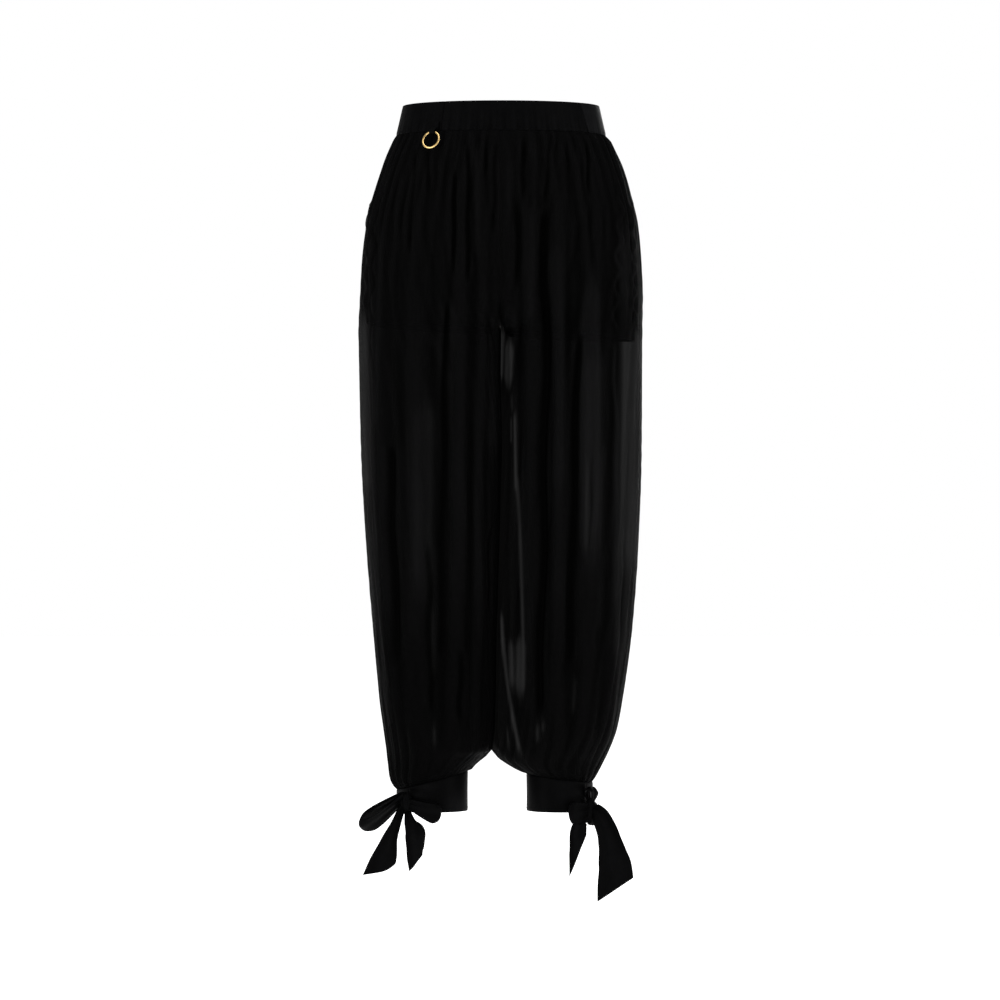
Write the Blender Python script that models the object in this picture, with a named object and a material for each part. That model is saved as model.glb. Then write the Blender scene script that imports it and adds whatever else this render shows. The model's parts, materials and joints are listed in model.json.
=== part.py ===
"""High-waisted balloon trousers in sheer cloth, gathered at the waistband and the ankle cuffs.

The trousers keep the round, hollow form that they have when worn. Sides are the wearer's:
right is at -X and left at +X. The front faces -Y and +Z is up. The origin is the middle of
the waist, halfway up the waistband. Tables and sizes are in millimetres, and MM turns them
into Blender's metres where the points are placed.
"""

import math
from collections import namedtuple

import bmesh
import bpy
from mathutils import Matrix, Vector

MM = 0.001

RIGHT, LEFT = "right", "left"
FRONT, BACK = "front", "back"
SIDES, FACES = (RIGHT, LEFT), (FRONT, BACK)

# ---------------------------------------------------------------- cloth and seams
SEAM_GAP = 0.3
SHEER_WALL = 1.4
LINING_WALL = 1.2
BAND_WALL = 2.6
CUFF_WALL = 2.4
RIBBON_WALL = 1.3
TAB_WALL = 0.9

# ---------------------------------------------------------------- the trousers' outline
# One row for each level. x runs over both legs: the outer edges are the side seams, the inner
# edges the inseams. front and back are depths from y = 0. power is the superellipse's power,
# 2 for an ellipse and more for a squarer section. lean slants the inner walls, so that the
# right leg laps in front of the left one.
Section = namedtuple(
    "Section", "z right_outer right_inner left_inner left_outer front back power lean"
)
BAND_BOTTOM = -20.0
CUFF_TOP = -885.0
SECTIONS = [
    Section(BAND_BOTTOM - SEAM_GAP, -140.5, 0.0, 0.0, 140.5, 95.0, 95.0, 2.1, 0.0),
    Section(-27.0, -142.8, 0.0, 0.0, 145.5, 98.5, 98.5, 2.1, 0.0),
    Section(-38.0, -147.0, 0.0, 0.0, 150.5, 103.0, 103.0, 2.1, 0.0),
    Section(-60.0, -155.7, 0.0, 0.0, 160.8, 109.0, 110.0, 2.1, 0.0),
    Section(-95.0, -166.7, 0.0, 0.0, 172.5, 115.0, 118.0, 2.15, 0.0),
    Section(-140.0, -178.7, 0.0, 0.0, 183.5, 119.0, 126.0, 2.2, 0.0),
    Section(-192.0, -185.0, 0.0, 0.0, 189.0, 121.0, 132.0, 2.2, 0.0),
    Section(-237.0, -186.8, 0.0, 0.0, 190.5, 121.0, 134.0, 2.2, 0.0),
    Section(-270.0, -188.6, -0.9, 0.9, 190.0, 120.0, 133.0, 2.25, 0.0),
    Section(-282.0, -189.0, -0.9, 0.9, 189.8, 120.0, 132.0, 2.3, 0.0),
    Section(-312.0, -188.8, -2.6, 1.6, 188.8, 119.0, 130.0, 2.35, 0.12),
    Section(-450.0, -185.3, -5.5, 0.5, 187.5, 114.0, 120.0, 2.5, 0.2),
    Section(-570.0, -179.0, -8.5, -2.5, 184.5, 108.0, 111.0, 2.5, 0.2),
    Section(-680.0, -170.3, -11.0, -5.0, 176.5, 101.0, 103.0, 2.45, 0.2),
    Section(-770.0, -161.2, -13.0, -7.0, 164.0, 94.0, 96.0, 2.4, 0.18),
    Section(-820.0, -153.5, -14.5, -8.5, 153.0, 87.0, 88.0, 2.35, 0.12),
    Section(-846.0, -150.0, -16.5, -9.0, 142.9, 77.0, 78.0, 2.25, 0.05),
    Section(-860.0, -147.5, -21.0, -3.5, 136.2, 66.0, 67.0, 2.15, 0.0),
    Section(-872.0, -146.0, -34.0, 12.5, 130.0, 56.0, 56.0, 2.05, 0.0),
    Section(-880.0, -143.5, -41.0, 29.0, 126.5, 48.5, 48.5, 2.0, 0.0),
    Section(CUFF_TOP + SEAM_GAP, -138.2, -44.2, 36.6, 123.6, 44.5, 44.5, 2.0, 0.0),
]
CROTCH_Z = -282.0
CROTCH_RISE = 90.0  # height over which the centre seams curve in to the crotch
CROTCH_SHARE = 0.45  # of a panel's width, where the crotch curve begins to tell
LEG_FORM_ABOVE, LEG_FORM_BELOW = 120.0, 120.0  # heights over which the sides take a leg's form
OUTLINE_STEPS = 96
HIP_SPREAD = 1.7  # crowds the hip line's steps towards the centre, where the inseam folds in
WAIST_SPREAD = 1.1  # the same for the gathers at the waist
SPREAD_TOP, SPREAD_BOTTOM = -60.0, -400.0

# ---------------------------------------------------------------- gathers and folds
GATHERS = 13  # ridges on each panel, at the waistband and again at the cuff
WAIST_GATHER = 4.4
CUFF_GATHER = 4.2
SEAM_SHARE = 0.3  # how much of a gather's height is left at the seam that holds it
WANDERS = ((0.22, 2.3, 1.0), (0.12, 5.1, 2.0))  # share of a step, turn for each column, seed
RIDGE_MEAN, RIDGE_VARIES = 0.78, 0.22
FOLD_EDGE = 0.05  # of a panel's width, over which the folds die away at its seams
STEEPEST = 1.2  # the slope beyond which a wall isn't thickened further along the level
GATHER_LEVELS = [  # z, share of the waist gathers, of the body folds and of the cuff gathers
    (-20.0, SEAM_SHARE, 0.0, 0.0),
    (-38.0, 1.0, 0.0, 0.0),
    (-95.0, 0.9, 0.3, 0.0),
    (-160.0, 0.5, 0.8, 0.0),
    (-240.0, 0.2, 1.0, 0.0),
    (-320.0, 0.0, 1.0, 0.0),
    (-700.0, 0.0, 1.0, 0.0),
    (-800.0, 0.0, 0.5, 0.6),
    (-850.0, 0.0, 0.1, 1.0),
    (-872.0, 0.0, 0.0, 0.8),
    (-885.0, 0.0, 0.0, SEAM_SHARE),
]
LEG_CLEARANCE = 0.5  # least space between the two legs' inner walls
INNER_SHARE = 0.72  # past this share of a panel's width a fold faces the other leg

# Long soft folds between the gathers. hip and hem are places across the panel, from 0 at the
# side seam to 1 at the centre seam or inseam; reach is the half width, and height stands out.
Fold = namedtuple("Fold", "hip hem reach height")
FOLDS = {
    (RIGHT, FRONT): [
        Fold(0.15, 0.17, 0.13, 4.5),
        Fold(0.36, 0.34, 0.09, 6.0),
        Fold(0.54, 0.49, 0.08, 7.5),
        Fold(0.70, 0.63, 0.07, 6.5),
        Fold(0.85, 0.77, 0.07, 4.0),
    ],
    (LEFT, FRONT): [
        Fold(0.12, 0.13, 0.10, 4.0),
        Fold(0.29, 0.28, 0.09, 6.5),
        Fold(0.47, 0.43, 0.08, 5.0),
        Fold(0.62, 0.56, 0.07, 8.0),
        Fold(0.78, 0.70, 0.08, 6.0),
    ],
    (RIGHT, BACK): [
        Fold(0.14, 0.16, 0.11, 4.5),
        Fold(0.34, 0.33, 0.09, 6.0),
        Fold(0.53, 0.50, 0.09, 7.0),
        Fold(0.73, 0.66, 0.08, 5.5),
    ],
    (LEFT, BACK): [
        Fold(0.13, 0.14, 0.11, 4.0),
        Fold(0.31, 0.32, 0.08, 6.5),
        Fold(0.49, 0.48, 0.09, 6.0),
        Fold(0.70, 0.64, 0.09, 6.5),
    ],
}
FOLD_TOP, FOLD_BOTTOM = -95.0, -850.0

# ---------------------------------------------------------------- waistband
BAND_TOP = 20.0
BAND_TOP_WIDTH, BAND_TOP_DEPTH = 131.5, 87.5  # half sizes, at the middle of the wall
BAND_BOTTOM_WIDTH, BAND_BOTTOM_DEPTH = 140.5, 95.0
BAND_POWER = 2.1
# Where the front band ends, in degrees round the waist from the wearer's left side (+X),
# through the front (-Y): at its top edge and at its bottom edge.
BAND_LEFT_END = (37.5, 34.5)
BAND_RIGHT_END = (123.5, 123.5)
FRONT_BAND_STEPS, BACK_BAND_STEPS = 20, 52

# ---------------------------------------------------------------- lining shorts
LINING_TOP = -16.0
LINING_TUCK = 2.35  # from the waistband's middle line in to the lining's, at its top
LINING_INSET = 8.0  # from the sheer cloth's line in to the lining's, below the hip
LINING_INSET_Z = -60.0
LINING_CROTCH_Z = -262.0
LINING_HEM = {RIGHT: -272.0, LEFT: -297.0}  # at the side seams
LINING_INSEAM_HEM = -286.0
LINING_LEVELS = (-16, -20.3, -27, -38, -60, -95, -140, -175, -205, -230, -250, -262)
LINING_ACROSS = 12
LINING_SEAM_SHARE = 0.2  # of a panel's width, where the wall turns in to the centre seam

# ---------------------------------------------------------------- cuffs
CUFF_BOTTOM = -929.5
CUFF_WIDTH = {RIGHT: 47.0, LEFT: 43.5}  # half sizes, to the middle of the wall
CUFF_DEPTH = 44.5
CUFF_CENTRE = {RIGHT: -91.2, LEFT: 80.1}
CUFF_DROOP = {RIGHT: 10.0, LEFT: 6.0}  # how much lower its top runs on the outer side
DROOP_TOP = -846.0  # the level where the droop ends, up the leg
CUFF_SLIT = 3.0  # degrees left open behind the knot
CUFF_STEPS = 36

# ---------------------------------------------------------------- ties
KNOT_SIZE = {RIGHT: (11.0, 8.0, 15.0), LEFT: (12.0, 8.0, 18.0)}  # half sizes: along, out, up
KNOT_TURN = {RIGHT: 50.0, LEFT: 37.0}  # degrees from straight out to the side, to the front
KNOT_Z = {RIGHT: -917.0, LEFT: -930.0}
KNOT_SIDES, KNOT_RINGS = 16, 10
RIBBON_STEPS = 2  # rows of faces between two stations
RIBBON_ACROSS = 2
LOOP_FULLNESS = 0.8  # under 1, a loop widens soon after its root
CUT_POWER = 1.7  # how late along a tail its rows begin to slant to the cut

# A loop leaves the knot, turns at its tip and comes back. rise is its root's height above
# the knot's middle, and reach is the tip's place from there. tilt turns the width about the
# reach, root and width are the ribbon's at the knot and at the tip, and opening parts the two
# layers.
Loop = namedtuple("Loop", "rise reach_x reach_y reach_z root width tilt opening")
LOOPS = {
    (RIGHT, "outer"): Loop(8.0, -59.0, -5.0, -41.0, 15.0, 31.0, -50.0, 10.0),
    (RIGHT, "inner"): Loop(1.5, 48.0, -20.0, -16.5, 9.0, 28.0, 12.0, 8.0),
    (LEFT, "outer"): Loop(13.0, 0.0, 3.0, 21.0, 8.0, 19.0, 56.0, 8.0),
    (LEFT, "inner"): Loop(5.0, -29.0, -26.0, 1.0, 10.0, 23.0, -6.0, 7.0),
}
LOOP_ROWS = 18

# A tail hangs along its stations, from the knot to the cut end. twist turns its face from the
# front about its own length, and crown lifts the middle of its width.
Station = namedtuple("Station", "x y z width twist crown")
TAILS = {
    (RIGHT, "outer"): [
        Station(-131.0, -46.0, -921.5, 9.0, 0.0, 0.5),
        Station(-138.8, -55.0, -942.5, 13.0, 6.0, 1.0),
        Station(-147.2, -58.0, -962.5, 20.0, 10.0, 1.8),
        Station(-152.3, -58.5, -978.5, 28.0, 10.0, 2.2),
        Station(-157.0, -58.0, -993.5, 35.5, 8.0, 2.0),
        Station(-161.0, -57.0, -1008.5, 41.5, 6.0, 1.6),
    ],
    (RIGHT, "inner"): [
        Station(-123.5, -44.5, -928.0, 8.0, -10.0, 0.5),
        Station(-119.8, -56.0, -942.0, 17.0, -20.0, 1.2),
        Station(-113.8, -60.5, -955.0, 29.5, -25.0, 2.4),
        Station(-113.2, -61.0, -971.0, 27.5, -28.0, 3.0),
        Station(-113.6, -60.0, -985.0, 24.0, -28.0, 2.8),
        Station(-112.8, -59.0, -996.0, 21.5, -26.0, 2.2),
    ],
    (LEFT, "inner"): [
        Station(117.0, -40.0, -937.0, 8.0, -10.0, 0.5),
        Station(111.0, -49.5, -946.0, 11.0, -12.0, 1.0),
        Station(106.4, -54.6, -957.0, 17.0, -18.0, 1.6),
        Station(103.6, -57.5, -970.0, 25.0, -30.0, 2.0),
        Station(103.7, -58.5, -984.5, 31.0, -42.0, 2.0),
    ],
    (LEFT, "outer"): [
        Station(126.0, -38.0, -924.0, 16.0, 10.0, 0.8),
        Station(134.4, -46.0, -935.0, 25.0, 14.0, 1.6),
        Station(142.8, -49.5, -953.0, 29.0, 14.0, 2.4),
        Station(147.0, -50.5, -969.5, 33.0, 14.0, 2.8),
        Station(150.2, -50.5, -987.5, 40.0, 12.0, 3.0),
        Station(152.5, -49.5, -1006.0, 45.5, 10.0, 2.6),
        Station(153.6, -48.0, -1032.5, 48.0, 8.0, 2.0),
    ],
}
TAIL_CUT = {  # how far the end is cut on the slant: the side nearer to -X hangs lower
    (RIGHT, "outer"): 19.0,
    (RIGHT, "inner"): 19.0,
    (LEFT, "inner"): 52.0,
    (LEFT, "outer"): 31.0,
}

# ---------------------------------------------------------------- ring on its tab
RING_OUTER = 26.0
RING_WIRE = 2.6
RING_X = -84.0  # where it hangs from, on the waistband's front
RING_TURNS, RING_SIDES = 28, 10
RING_SETTLES = 20  # steps in which its rest against the gathers is found
RING_STEEPEST = 0.9  # the most that it leans out, as a sine
TAB_WIDTH = 8.0
TAB_HEIGHT = 13.0  # from the waistband's bottom edge up to the tab's ends
TAB_BEND, TAB_FRONT_BEND = 5.0, 6.0  # the heights where its two layers leave the waistband
TAB_LOOP_START, TAB_LOOP_END = 165.0, 435.0  # degrees, from outward and up
TAB_TURNS = 10
TAB_BORE = 2.5  # inside radius of the loop that the ring hangs in
PIVOT_OUT = 7.0  # from the waistband's face to the loop's middle, clear of the gathers
PIVOT_DROP = 1.5  # from the waistband's bottom edge down to the loop's middle
RING_CLEARANCE = 0.6  # from the ring at rest to the gathers behind it

COLOURS = {  # base colour, roughness, metallic
    "sheer": ((0.006, 0.006, 0.007, 0.86), 0.62, 0.0),
    "lining": ((0.005, 0.005, 0.006, 1.0), 0.55, 0.0),
    "satin": ((0.007, 0.007, 0.008, 1.0), 0.42, 0.0),
    "gold": ((0.83, 0.62, 0.30, 1.0), 0.22, 1.0),
}


def material(name, finish_name):
    """A piece's own material, in the named finish."""
    colour, roughness, metallic = COLOURS[finish_name]
    made = bpy.data.materials.new(f"{name}_{finish_name}")
    made.use_nodes = True
    shader = made.node_tree.nodes["Principled BSDF"]
    shader.inputs["Base Color"].default_value = (*colour[:3], 1.0)
    shader.inputs["Alpha"].default_value = colour[3]
    shader.inputs["Roughness"].default_value = roughness
    shader.inputs["Metallic"].default_value = metallic
    return made


def finish(name, bm, finish_name):
    """Turns a bmesh into a smooth-shaded object with outward faces."""
    bmesh.ops.recalc_face_normals(bm, faces=bm.faces)
    if bm.calc_volume(signed=True) < 0.0:
        bmesh.ops.reverse_faces(bm, faces=bm.faces)
    mesh = bpy.data.meshes.new(name)
    bm.to_mesh(mesh)
    bm.free()
    mesh.materials.append(material(name, finish_name))
    mesh.shade_smooth()
    mesh.set_sharp_from_angle(angle=math.radians(50))
    made = bpy.data.objects.new(name, mesh)
    bpy.context.scene.collection.objects.link(made)
    return made


def cloth_wall(name, across, down, place, finish_name):
    """A panel of cloth as a closed wall.

    The grid's column runs from 0 to across and its row from 0 to down. place(column, row)
    gives the two points of the wall there, the inner and the outer one, in millimetres.
    """
    bm = bmesh.new()
    bmesh.ops.create_grid(bm, x_segments=across, y_segments=down, size=0.5)
    cells = {}
    for vert in bm.verts:
        cells[vert] = (round((vert.co.x + 0.5) * across), round((0.5 - vert.co.y) * down))
    # The grid lies flat, so the copy that the extrusion makes finds its cell by its place.
    by_place = {tuple(round(c, 6) for c in vert.co): cell for vert, cell in cells.items()}
    bmesh.ops.triangulate(bm, faces=bm.faces, quad_method="FIXED")
    made = bmesh.ops.extrude_face_region(bm, geom=list(bm.faces))
    outer = [item for item in made["geom"] if isinstance(item, bmesh.types.BMVert)]
    points = {cell: place(*cell) for cell in cells.values()}
    copies = {vert: by_place[tuple(round(c, 6) for c in vert.co)] for vert in outer}
    for vert, cell in cells.items():
        vert.co = Vector(points[cell][0]) * MM
    for vert, cell in copies.items():
        vert.co = Vector(points[cell][1]) * MM
    return finish(name, bm, finish_name)


# ---------------------------------------------------------------- sections
def blend(low, high, share):
    return low + (high - low) * share


def between(rows, z):
    """The table's row at level z, in a straight line between the two rows beside it."""
    for upper, lower in zip(rows, rows[1:]):
        if z >= lower[0]:
            share = min(max((upper[0] - z) / (upper[0] - lower[0]), 0.0), 1.0)
            return [blend(a, b, share) for a, b in zip(upper, lower)]
    return list(rows[-1])


def section_at(z):
    return Section(*between(SECTIONS, z))


def rounded(value, power):
    """A cosine or sine bent to a superellipse of that power."""
    return math.copysign(abs(value) ** (2.0 / power), value)


def smooth(low, high, value):
    """0 at low, 1 at high, with a soft start and end."""
    share = min(max((value - low) / (high - low), 0.0), 1.0)
    return share * share * (3.0 - 2.0 * share)


def split_at(z, crotch_z, across):
    """0 where both legs share one tube, 1 where each leg is a tube of its own.

    It follows the crotch curve at the centre seams, and changes slowly at the side seams.
    """
    drop = min(max((crotch_z + CROTCH_RISE - z) / CROTCH_RISE, 0.0), 1.0)
    at_centre = 1.0 - math.sqrt(1.0 - drop * drop)
    at_side = smooth(crotch_z + LEG_FORM_ABOVE, crotch_z - LEG_FORM_BELOW, z)
    return blend(at_side, at_centre, smooth(CROTCH_SHARE, 1.0, across))


def outline(side, face, z, crotch_z=CROTCH_Z):
    """One panel's line at level z, from the side seam to the centre seam or the inseam."""
    row = section_at(z)
    outer = row.right_outer if side == RIGHT else row.left_outer
    inner = row.right_inner if side == RIGHT else row.left_inner
    depth = -row.front if face == FRONT else row.back
    points = []
    for step in range(OUTLINE_STEPS + 1):
        across = step / OUTLINE_STEPS
        turn = math.pi * across
        hip_turn = math.pi / 2 * (1.0 - (1.0 - across) ** HIP_SPREAD)
        hip_x = inner + (outer - inner) * rounded(math.cos(hip_turn), row.power)
        hip_y = depth * rounded(math.sin(hip_turn), row.power)
        leg_y = depth * rounded(math.sin(turn), row.power)
        leg_x = (outer + inner) / 2 + (outer - inner) / 2 * rounded(math.cos(turn), row.power)
        leg_x -= row.lean * leg_y * (1.0 - math.cos(turn)) / 2
        split = split_at(z, crotch_z, across)
        points.append(Vector((blend(hip_x, leg_x, split), blend(hip_y, leg_y, split))))
    return points


def along(points, across):
    """The point at that share of a line's steps, and the tangent there.

    Half a seam gap is left free at each end of the line.
    """
    reach = across * OUTLINE_STEPS
    index = min(int(reach), OUTLINE_STEPS - 1)
    before, after = points[index], points[index + 1]
    tangent = (after - before).normalized()
    point = before.lerp(after, reach - index)
    if across <= 0.0:
        point += tangent * SEAM_GAP / 2
    if across >= 1.0:
        point -= tangent * SEAM_GAP / 2
    return point, tangent


def spread(share, z):
    """Where a column lies on its line: even round a leg, and even round the waist too."""
    waist_share = 1.0 - smooth(SPREAD_TOP, SPREAD_BOTTOM, z)
    return 1.0 - (1.0 - share) ** blend(1.0, WAIST_SPREAD / HIP_SPREAD, waist_share)


def own_quarter(point, side, face, joined):
    """The point, kept half a seam gap inside its own quarter of the garment.

    Below the crotch the legs aren't joined, and a panel may cross the middle.
    """
    limit = SEAM_GAP / 2
    x, y = point
    if joined:
        x = min(x, -limit) if side == RIGHT else max(x, limit)
    y = min(y, -limit) if face == FRONT else max(y, limit)
    return Vector((x, y))


def outward(tangent, side, face):
    """The horizontal normal that points out of the garment, from a panel's tangent."""
    turn = 1.0 if (side == RIGHT) == (face == FRONT) else -1.0
    return Vector((tangent.y, -tangent.x)) * turn


# ---------------------------------------------------------------- gathers
def gather_place(column, columns, seed):
    """A column's place across its panel: evenly spaced, less a little."""
    wander = sum(size * math.sin(turn * column + start * seed) for size, turn, start in WANDERS)
    ends = min(column, columns - column, 1)
    return (column + wander * ends) / columns


def gather_height(column, seed):
    """0 on the even columns, which are valleys, and an uneven height on the ridges."""
    return (column % 2) * (RIDGE_MEAN + RIDGE_VARIES * math.sin(1.9 * column + 3.0 * seed))


def fold_height(side, face, share, z):
    """How far the long folds stand out there."""
    fall = min(max((FOLD_TOP - z) / (FOLD_TOP - FOLD_BOTTOM), 0.0), 1.0)
    height = 0.0
    for fold in FOLDS[side, face]:
        away = abs(share - blend(fold.hip, fold.hem, fall)) / fold.reach
        if away < 1.0:
            height += fold.height * math.cos(away * math.pi / 2) ** 2
    return height * min(1.0, share / FOLD_EDGE, (1.0 - share) / FOLD_EDGE)


def relief(side, face, column, columns, share, z):
    """How far the cloth stands out from its plain section."""
    seed = {(RIGHT, FRONT): 0.4, (LEFT, FRONT): 1.9, (RIGHT, BACK): 3.1, (LEFT, BACK): 4.6}
    _, at_waist, at_body, at_cuff = between(GATHER_LEVELS, z)
    ridge = gather_height(column, seed[side, face])
    height = ridge * (at_waist * WAIST_GATHER + at_cuff * CUFF_GATHER)
    height += at_body * fold_height(side, face, share, z)
    if share > INNER_SHARE and z < CROTCH_Z + CROTCH_RISE:
        row = section_at(z)
        room = (row.left_inner - row.right_inner) / 2 - SHEER_WALL / 2 - LEG_CLEARANCE
        height = min(height, max(room, 0.0))
    return height


# ---------------------------------------------------------------- the sheer panels
def trouser_panel(side, face):
    """A front or back of one leg, from the waistband down to the cuff."""
    columns = 2 * GATHERS
    seed = 1.0 if face == FRONT else 2.6
    levels = [row.z for row in SECTIONS]
    lines = [outline(side, face, z) for z in levels]

    def middle(column, row):
        share = gather_place(column, columns, seed)
        point, tangent = along(lines[row], spread(share, levels[row]))
        normal = outward(tangent, side, face)
        return point, normal, relief(side, face, column, columns, share, levels[row])

    def place(column, row):
        point, normal, height = middle(column, row)
        beside = max(row - 1, 0), min(row + 1, len(levels) - 1)
        above, below = (middle(column, r)[0] for r in beside)
        slope = abs((below - above).dot(normal) / (levels[beside[0]] - levels[beside[1]]))
        half = SHEER_WALL / 2 * math.sqrt(1.0 + min(slope, STEEPEST) ** 2)
        inner = point + normal * (height - half)
        outer = point + normal * (height + half)
        joined = levels[row] >= CROTCH_Z
        z = levels[row] - droop(side, point.x, levels[row])
        return tuple((*own_quarter(p, side, face, joined), z) for p in (inner, outer))

    name = f"trouser_{side}_{face}"
    return cloth_wall(name, columns, len(levels) - 1, place, "sheer")


# ---------------------------------------------------------------- waistband
def band_point(turn, z, out=0.0):
    """A point of the waistband's middle line, moved out, at a turn in degrees."""
    share = (BAND_TOP - z) / (BAND_TOP - BAND_BOTTOM)
    width = blend(BAND_TOP_WIDTH, BAND_BOTTOM_WIDTH, share)
    depth = blend(BAND_TOP_DEPTH, BAND_BOTTOM_DEPTH, share)
    angle = math.radians(turn)
    cosine, sine = math.cos(angle), math.sin(angle)
    x, y = width * rounded(cosine, BAND_POWER), -depth * rounded(sine, BAND_POWER)
    # The normal of a superellipse at the same turn.
    power = 2.0 - 2.0 / BAND_POWER
    normal_x = math.copysign(abs(cosine) ** power, cosine) / width
    normal_y = -math.copysign(abs(sine) ** power, sine) / depth
    normal = Vector((normal_x, normal_y)).normalized()
    return Vector((x, y)) + normal * out, normal


def waistband(name, top_turns, bottom_turns, across):
    """A stretch of the waistband between two turns, given at its top and bottom edges."""
    down = 2

    def place(column, row):
        share = row / down
        z = blend(BAND_TOP, BAND_BOTTOM, share)
        start = blend(top_turns[0], bottom_turns[0], share)
        end = blend(top_turns[1], bottom_turns[1], share)
        turn = blend(start, end, column / across)
        inner, _ = band_point(turn, z, -BAND_WALL / 2)
        outer, _ = band_point(turn, z, BAND_WALL / 2)
        return (*inner, z), (*outer, z)

    return cloth_wall(name, across, down, place, "satin")


def waistbands():
    """The front band, and the back band that wraps to the front on both sides."""
    gap = math.degrees(SEAM_GAP / BAND_TOP_DEPTH)
    tops = BAND_LEFT_END[0], BAND_RIGHT_END[0]
    bottoms = BAND_LEFT_END[1], BAND_RIGHT_END[1]
    waistband("waistband_front", tops, bottoms, FRONT_BAND_STEPS)
    back_tops = tops[1] + gap, tops[0] + 360.0 - gap
    back_bottoms = bottoms[1] + gap, bottoms[0] + 360.0 - gap
    waistband("waistband_back", back_tops, back_bottoms, BACK_BAND_STEPS)


# ---------------------------------------------------------------- lining shorts
def lining_inset(z):
    if z >= BAND_BOTTOM:
        return LINING_TUCK
    share = min((BAND_BOTTOM - z) / (BAND_BOTTOM - LINING_INSET_Z), 1.0)
    return blend(LINING_TUCK, LINING_INSET, share)


def lining_outline(side, face, z):
    """The line that the lining keeps inside of: the waistband's, then the sheer cloth's."""
    if z <= SECTIONS[0].z:
        return outline(side, face, z, LINING_CROTCH_Z)
    share = (BAND_TOP - z) / (BAND_TOP - BAND_BOTTOM)
    width = blend(BAND_TOP_WIDTH, BAND_BOTTOM_WIDTH, share) * (1 if side == LEFT else -1)
    depth = blend(BAND_TOP_DEPTH, BAND_BOTTOM_DEPTH, share) * (1 if face == BACK else -1)
    points = []
    for step in range(OUTLINE_STEPS + 1):
        turn = math.pi / 2 * (1.0 - (1.0 - step / OUTLINE_STEPS) ** HIP_SPREAD)
        x = width * rounded(math.cos(turn), BAND_POWER)
        y = depth * rounded(math.sin(turn), BAND_POWER)
        points.append(Vector((x, y)))
    return points


def lining_panel(side, face):
    """A quarter of the opaque shorts that show through the sheer cloth."""
    down = len(LINING_LEVELS)

    def level(column, row):
        if row < down:
            return LINING_LEVELS[row]
        return blend(LINING_HEM[side], LINING_INSEAM_HEM, column / LINING_ACROSS)

    def place(column, row):
        z = level(column, row)
        share = column / LINING_ACROSS
        point, tangent = along(lining_outline(side, face, z), spread(share, z))
        normal = outward(tangent, side, face)
        below = (LINING_CROTCH_Z - z) / (LINING_CROTCH_Z - LINING_INSEAM_HEM)
        from_seam = (1.0 - share) / LINING_SEAM_SHARE
        inset = normal * lining_inset(z)
        inset.x *= min(max(below, from_seam), 1.0)
        inner = point - inset - normal * LINING_WALL / 2
        outer = point - inset + normal * LINING_WALL / 2
        joined = z >= LINING_CROTCH_Z
        return tuple((*own_quarter(p, side, face, joined), z) for p in (inner, outer))

    return cloth_wall(f"lining_{side}_{face}", LINING_ACROSS, down, place, "lining")


# ---------------------------------------------------------------- cuffs
def droop(side, x, z):
    """How far a point near the cuff's top sinks, more the further out it lies."""
    outward_x = -1 if side == RIGHT else 1
    reach = outward_x * (x - CUFF_CENTRE[side]) / CUFF_WIDTH[side]
    return CUFF_DROOP[side] * reach * min(max((DROOP_TOP - z) / (DROOP_TOP - CUFF_TOP), 0.0), 1.0)


def cuff_point(side, turn, out):
    """A point round the cuff, from straight out to the side and on to the front."""
    outward_x = -1 if side == RIGHT else 1
    wide = outward_x * (CUFF_WIDTH[side] + out) * math.cos(turn)
    return Vector((CUFF_CENTRE[side] + wide, -(CUFF_DEPTH + out) * math.sin(turn)))


def cuff(side):
    """The ankle band, open by a slit behind the knot."""
    across, down = CUFF_STEPS, 2
    knot_turn = math.radians(KNOT_TURN[side])
    slit = math.radians(CUFF_SLIT) / 2

    def place(column, row):
        turn = blend(knot_turn + slit, knot_turn + 2 * math.pi - slit, column / across)
        near = cuff_point(side, turn, -CUFF_WALL / 2)
        far = cuff_point(side, turn, CUFF_WALL / 2)
        top = CUFF_TOP - droop(side, (near.x + far.x) / 2, CUFF_TOP)
        z = blend(top, CUFF_BOTTOM, row / down)
        return (*near, z), (*far, z)

    return cloth_wall(f"cuff_{side}", across, down, place, "satin")


# ---------------------------------------------------------------- ties
def knot_centre(side):
    out = CUFF_WALL / 2 + SEAM_GAP + KNOT_SIZE[side][1]
    return Vector((*cuff_point(side, math.radians(KNOT_TURN[side]), out), KNOT_Z[side]))


def knot_shape(name, side, grown):
    """A rounded knot that sits on the cuff, grown on all sides by a distance."""
    bm = bmesh.new()
    bmesh.ops.create_uvsphere(bm, u_segments=KNOT_SIDES, v_segments=KNOT_RINGS, radius=1.0)
    along_size, out_size, up_size = (size + grown for size in KNOT_SIZE[side])
    turn = math.radians(KNOT_TURN[side] * (1 if side == RIGHT else -1))
    for vert in bm.verts:
        vert.co = Vector((vert.co.x * out_size, vert.co.y * along_size, vert.co.z * up_size)) * MM
    bmesh.ops.rotate(bm, verts=bm.verts, matrix=Matrix.Rotation(turn, 3, "Z"))
    bmesh.ops.translate(bm, verts=bm.verts, vec=knot_centre(side) * MM)
    return finish(name, bm, "satin")


def ribbon_wall(name, down, frame_at, cutter):
    """A ribbon seated on its knot.

    frame_at(row, offset) gives the middle of the wall and its face's normal, at an offset
    across the width from -0.5 to 0.5.
    """

    def place(column, row):
        middle, face = frame_at(row, column / RIBBON_ACROSS - 0.5)
        return tuple(middle - face * RIBBON_WALL / 2), tuple(middle + face * RIBBON_WALL / 2)

    made = cloth_wall(name, RIBBON_ACROSS, down, place, "satin")
    seat = made.modifiers.new("seat on the knot", "BOOLEAN")
    seat.operation = "DIFFERENCE"
    seat.object = cutter


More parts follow.
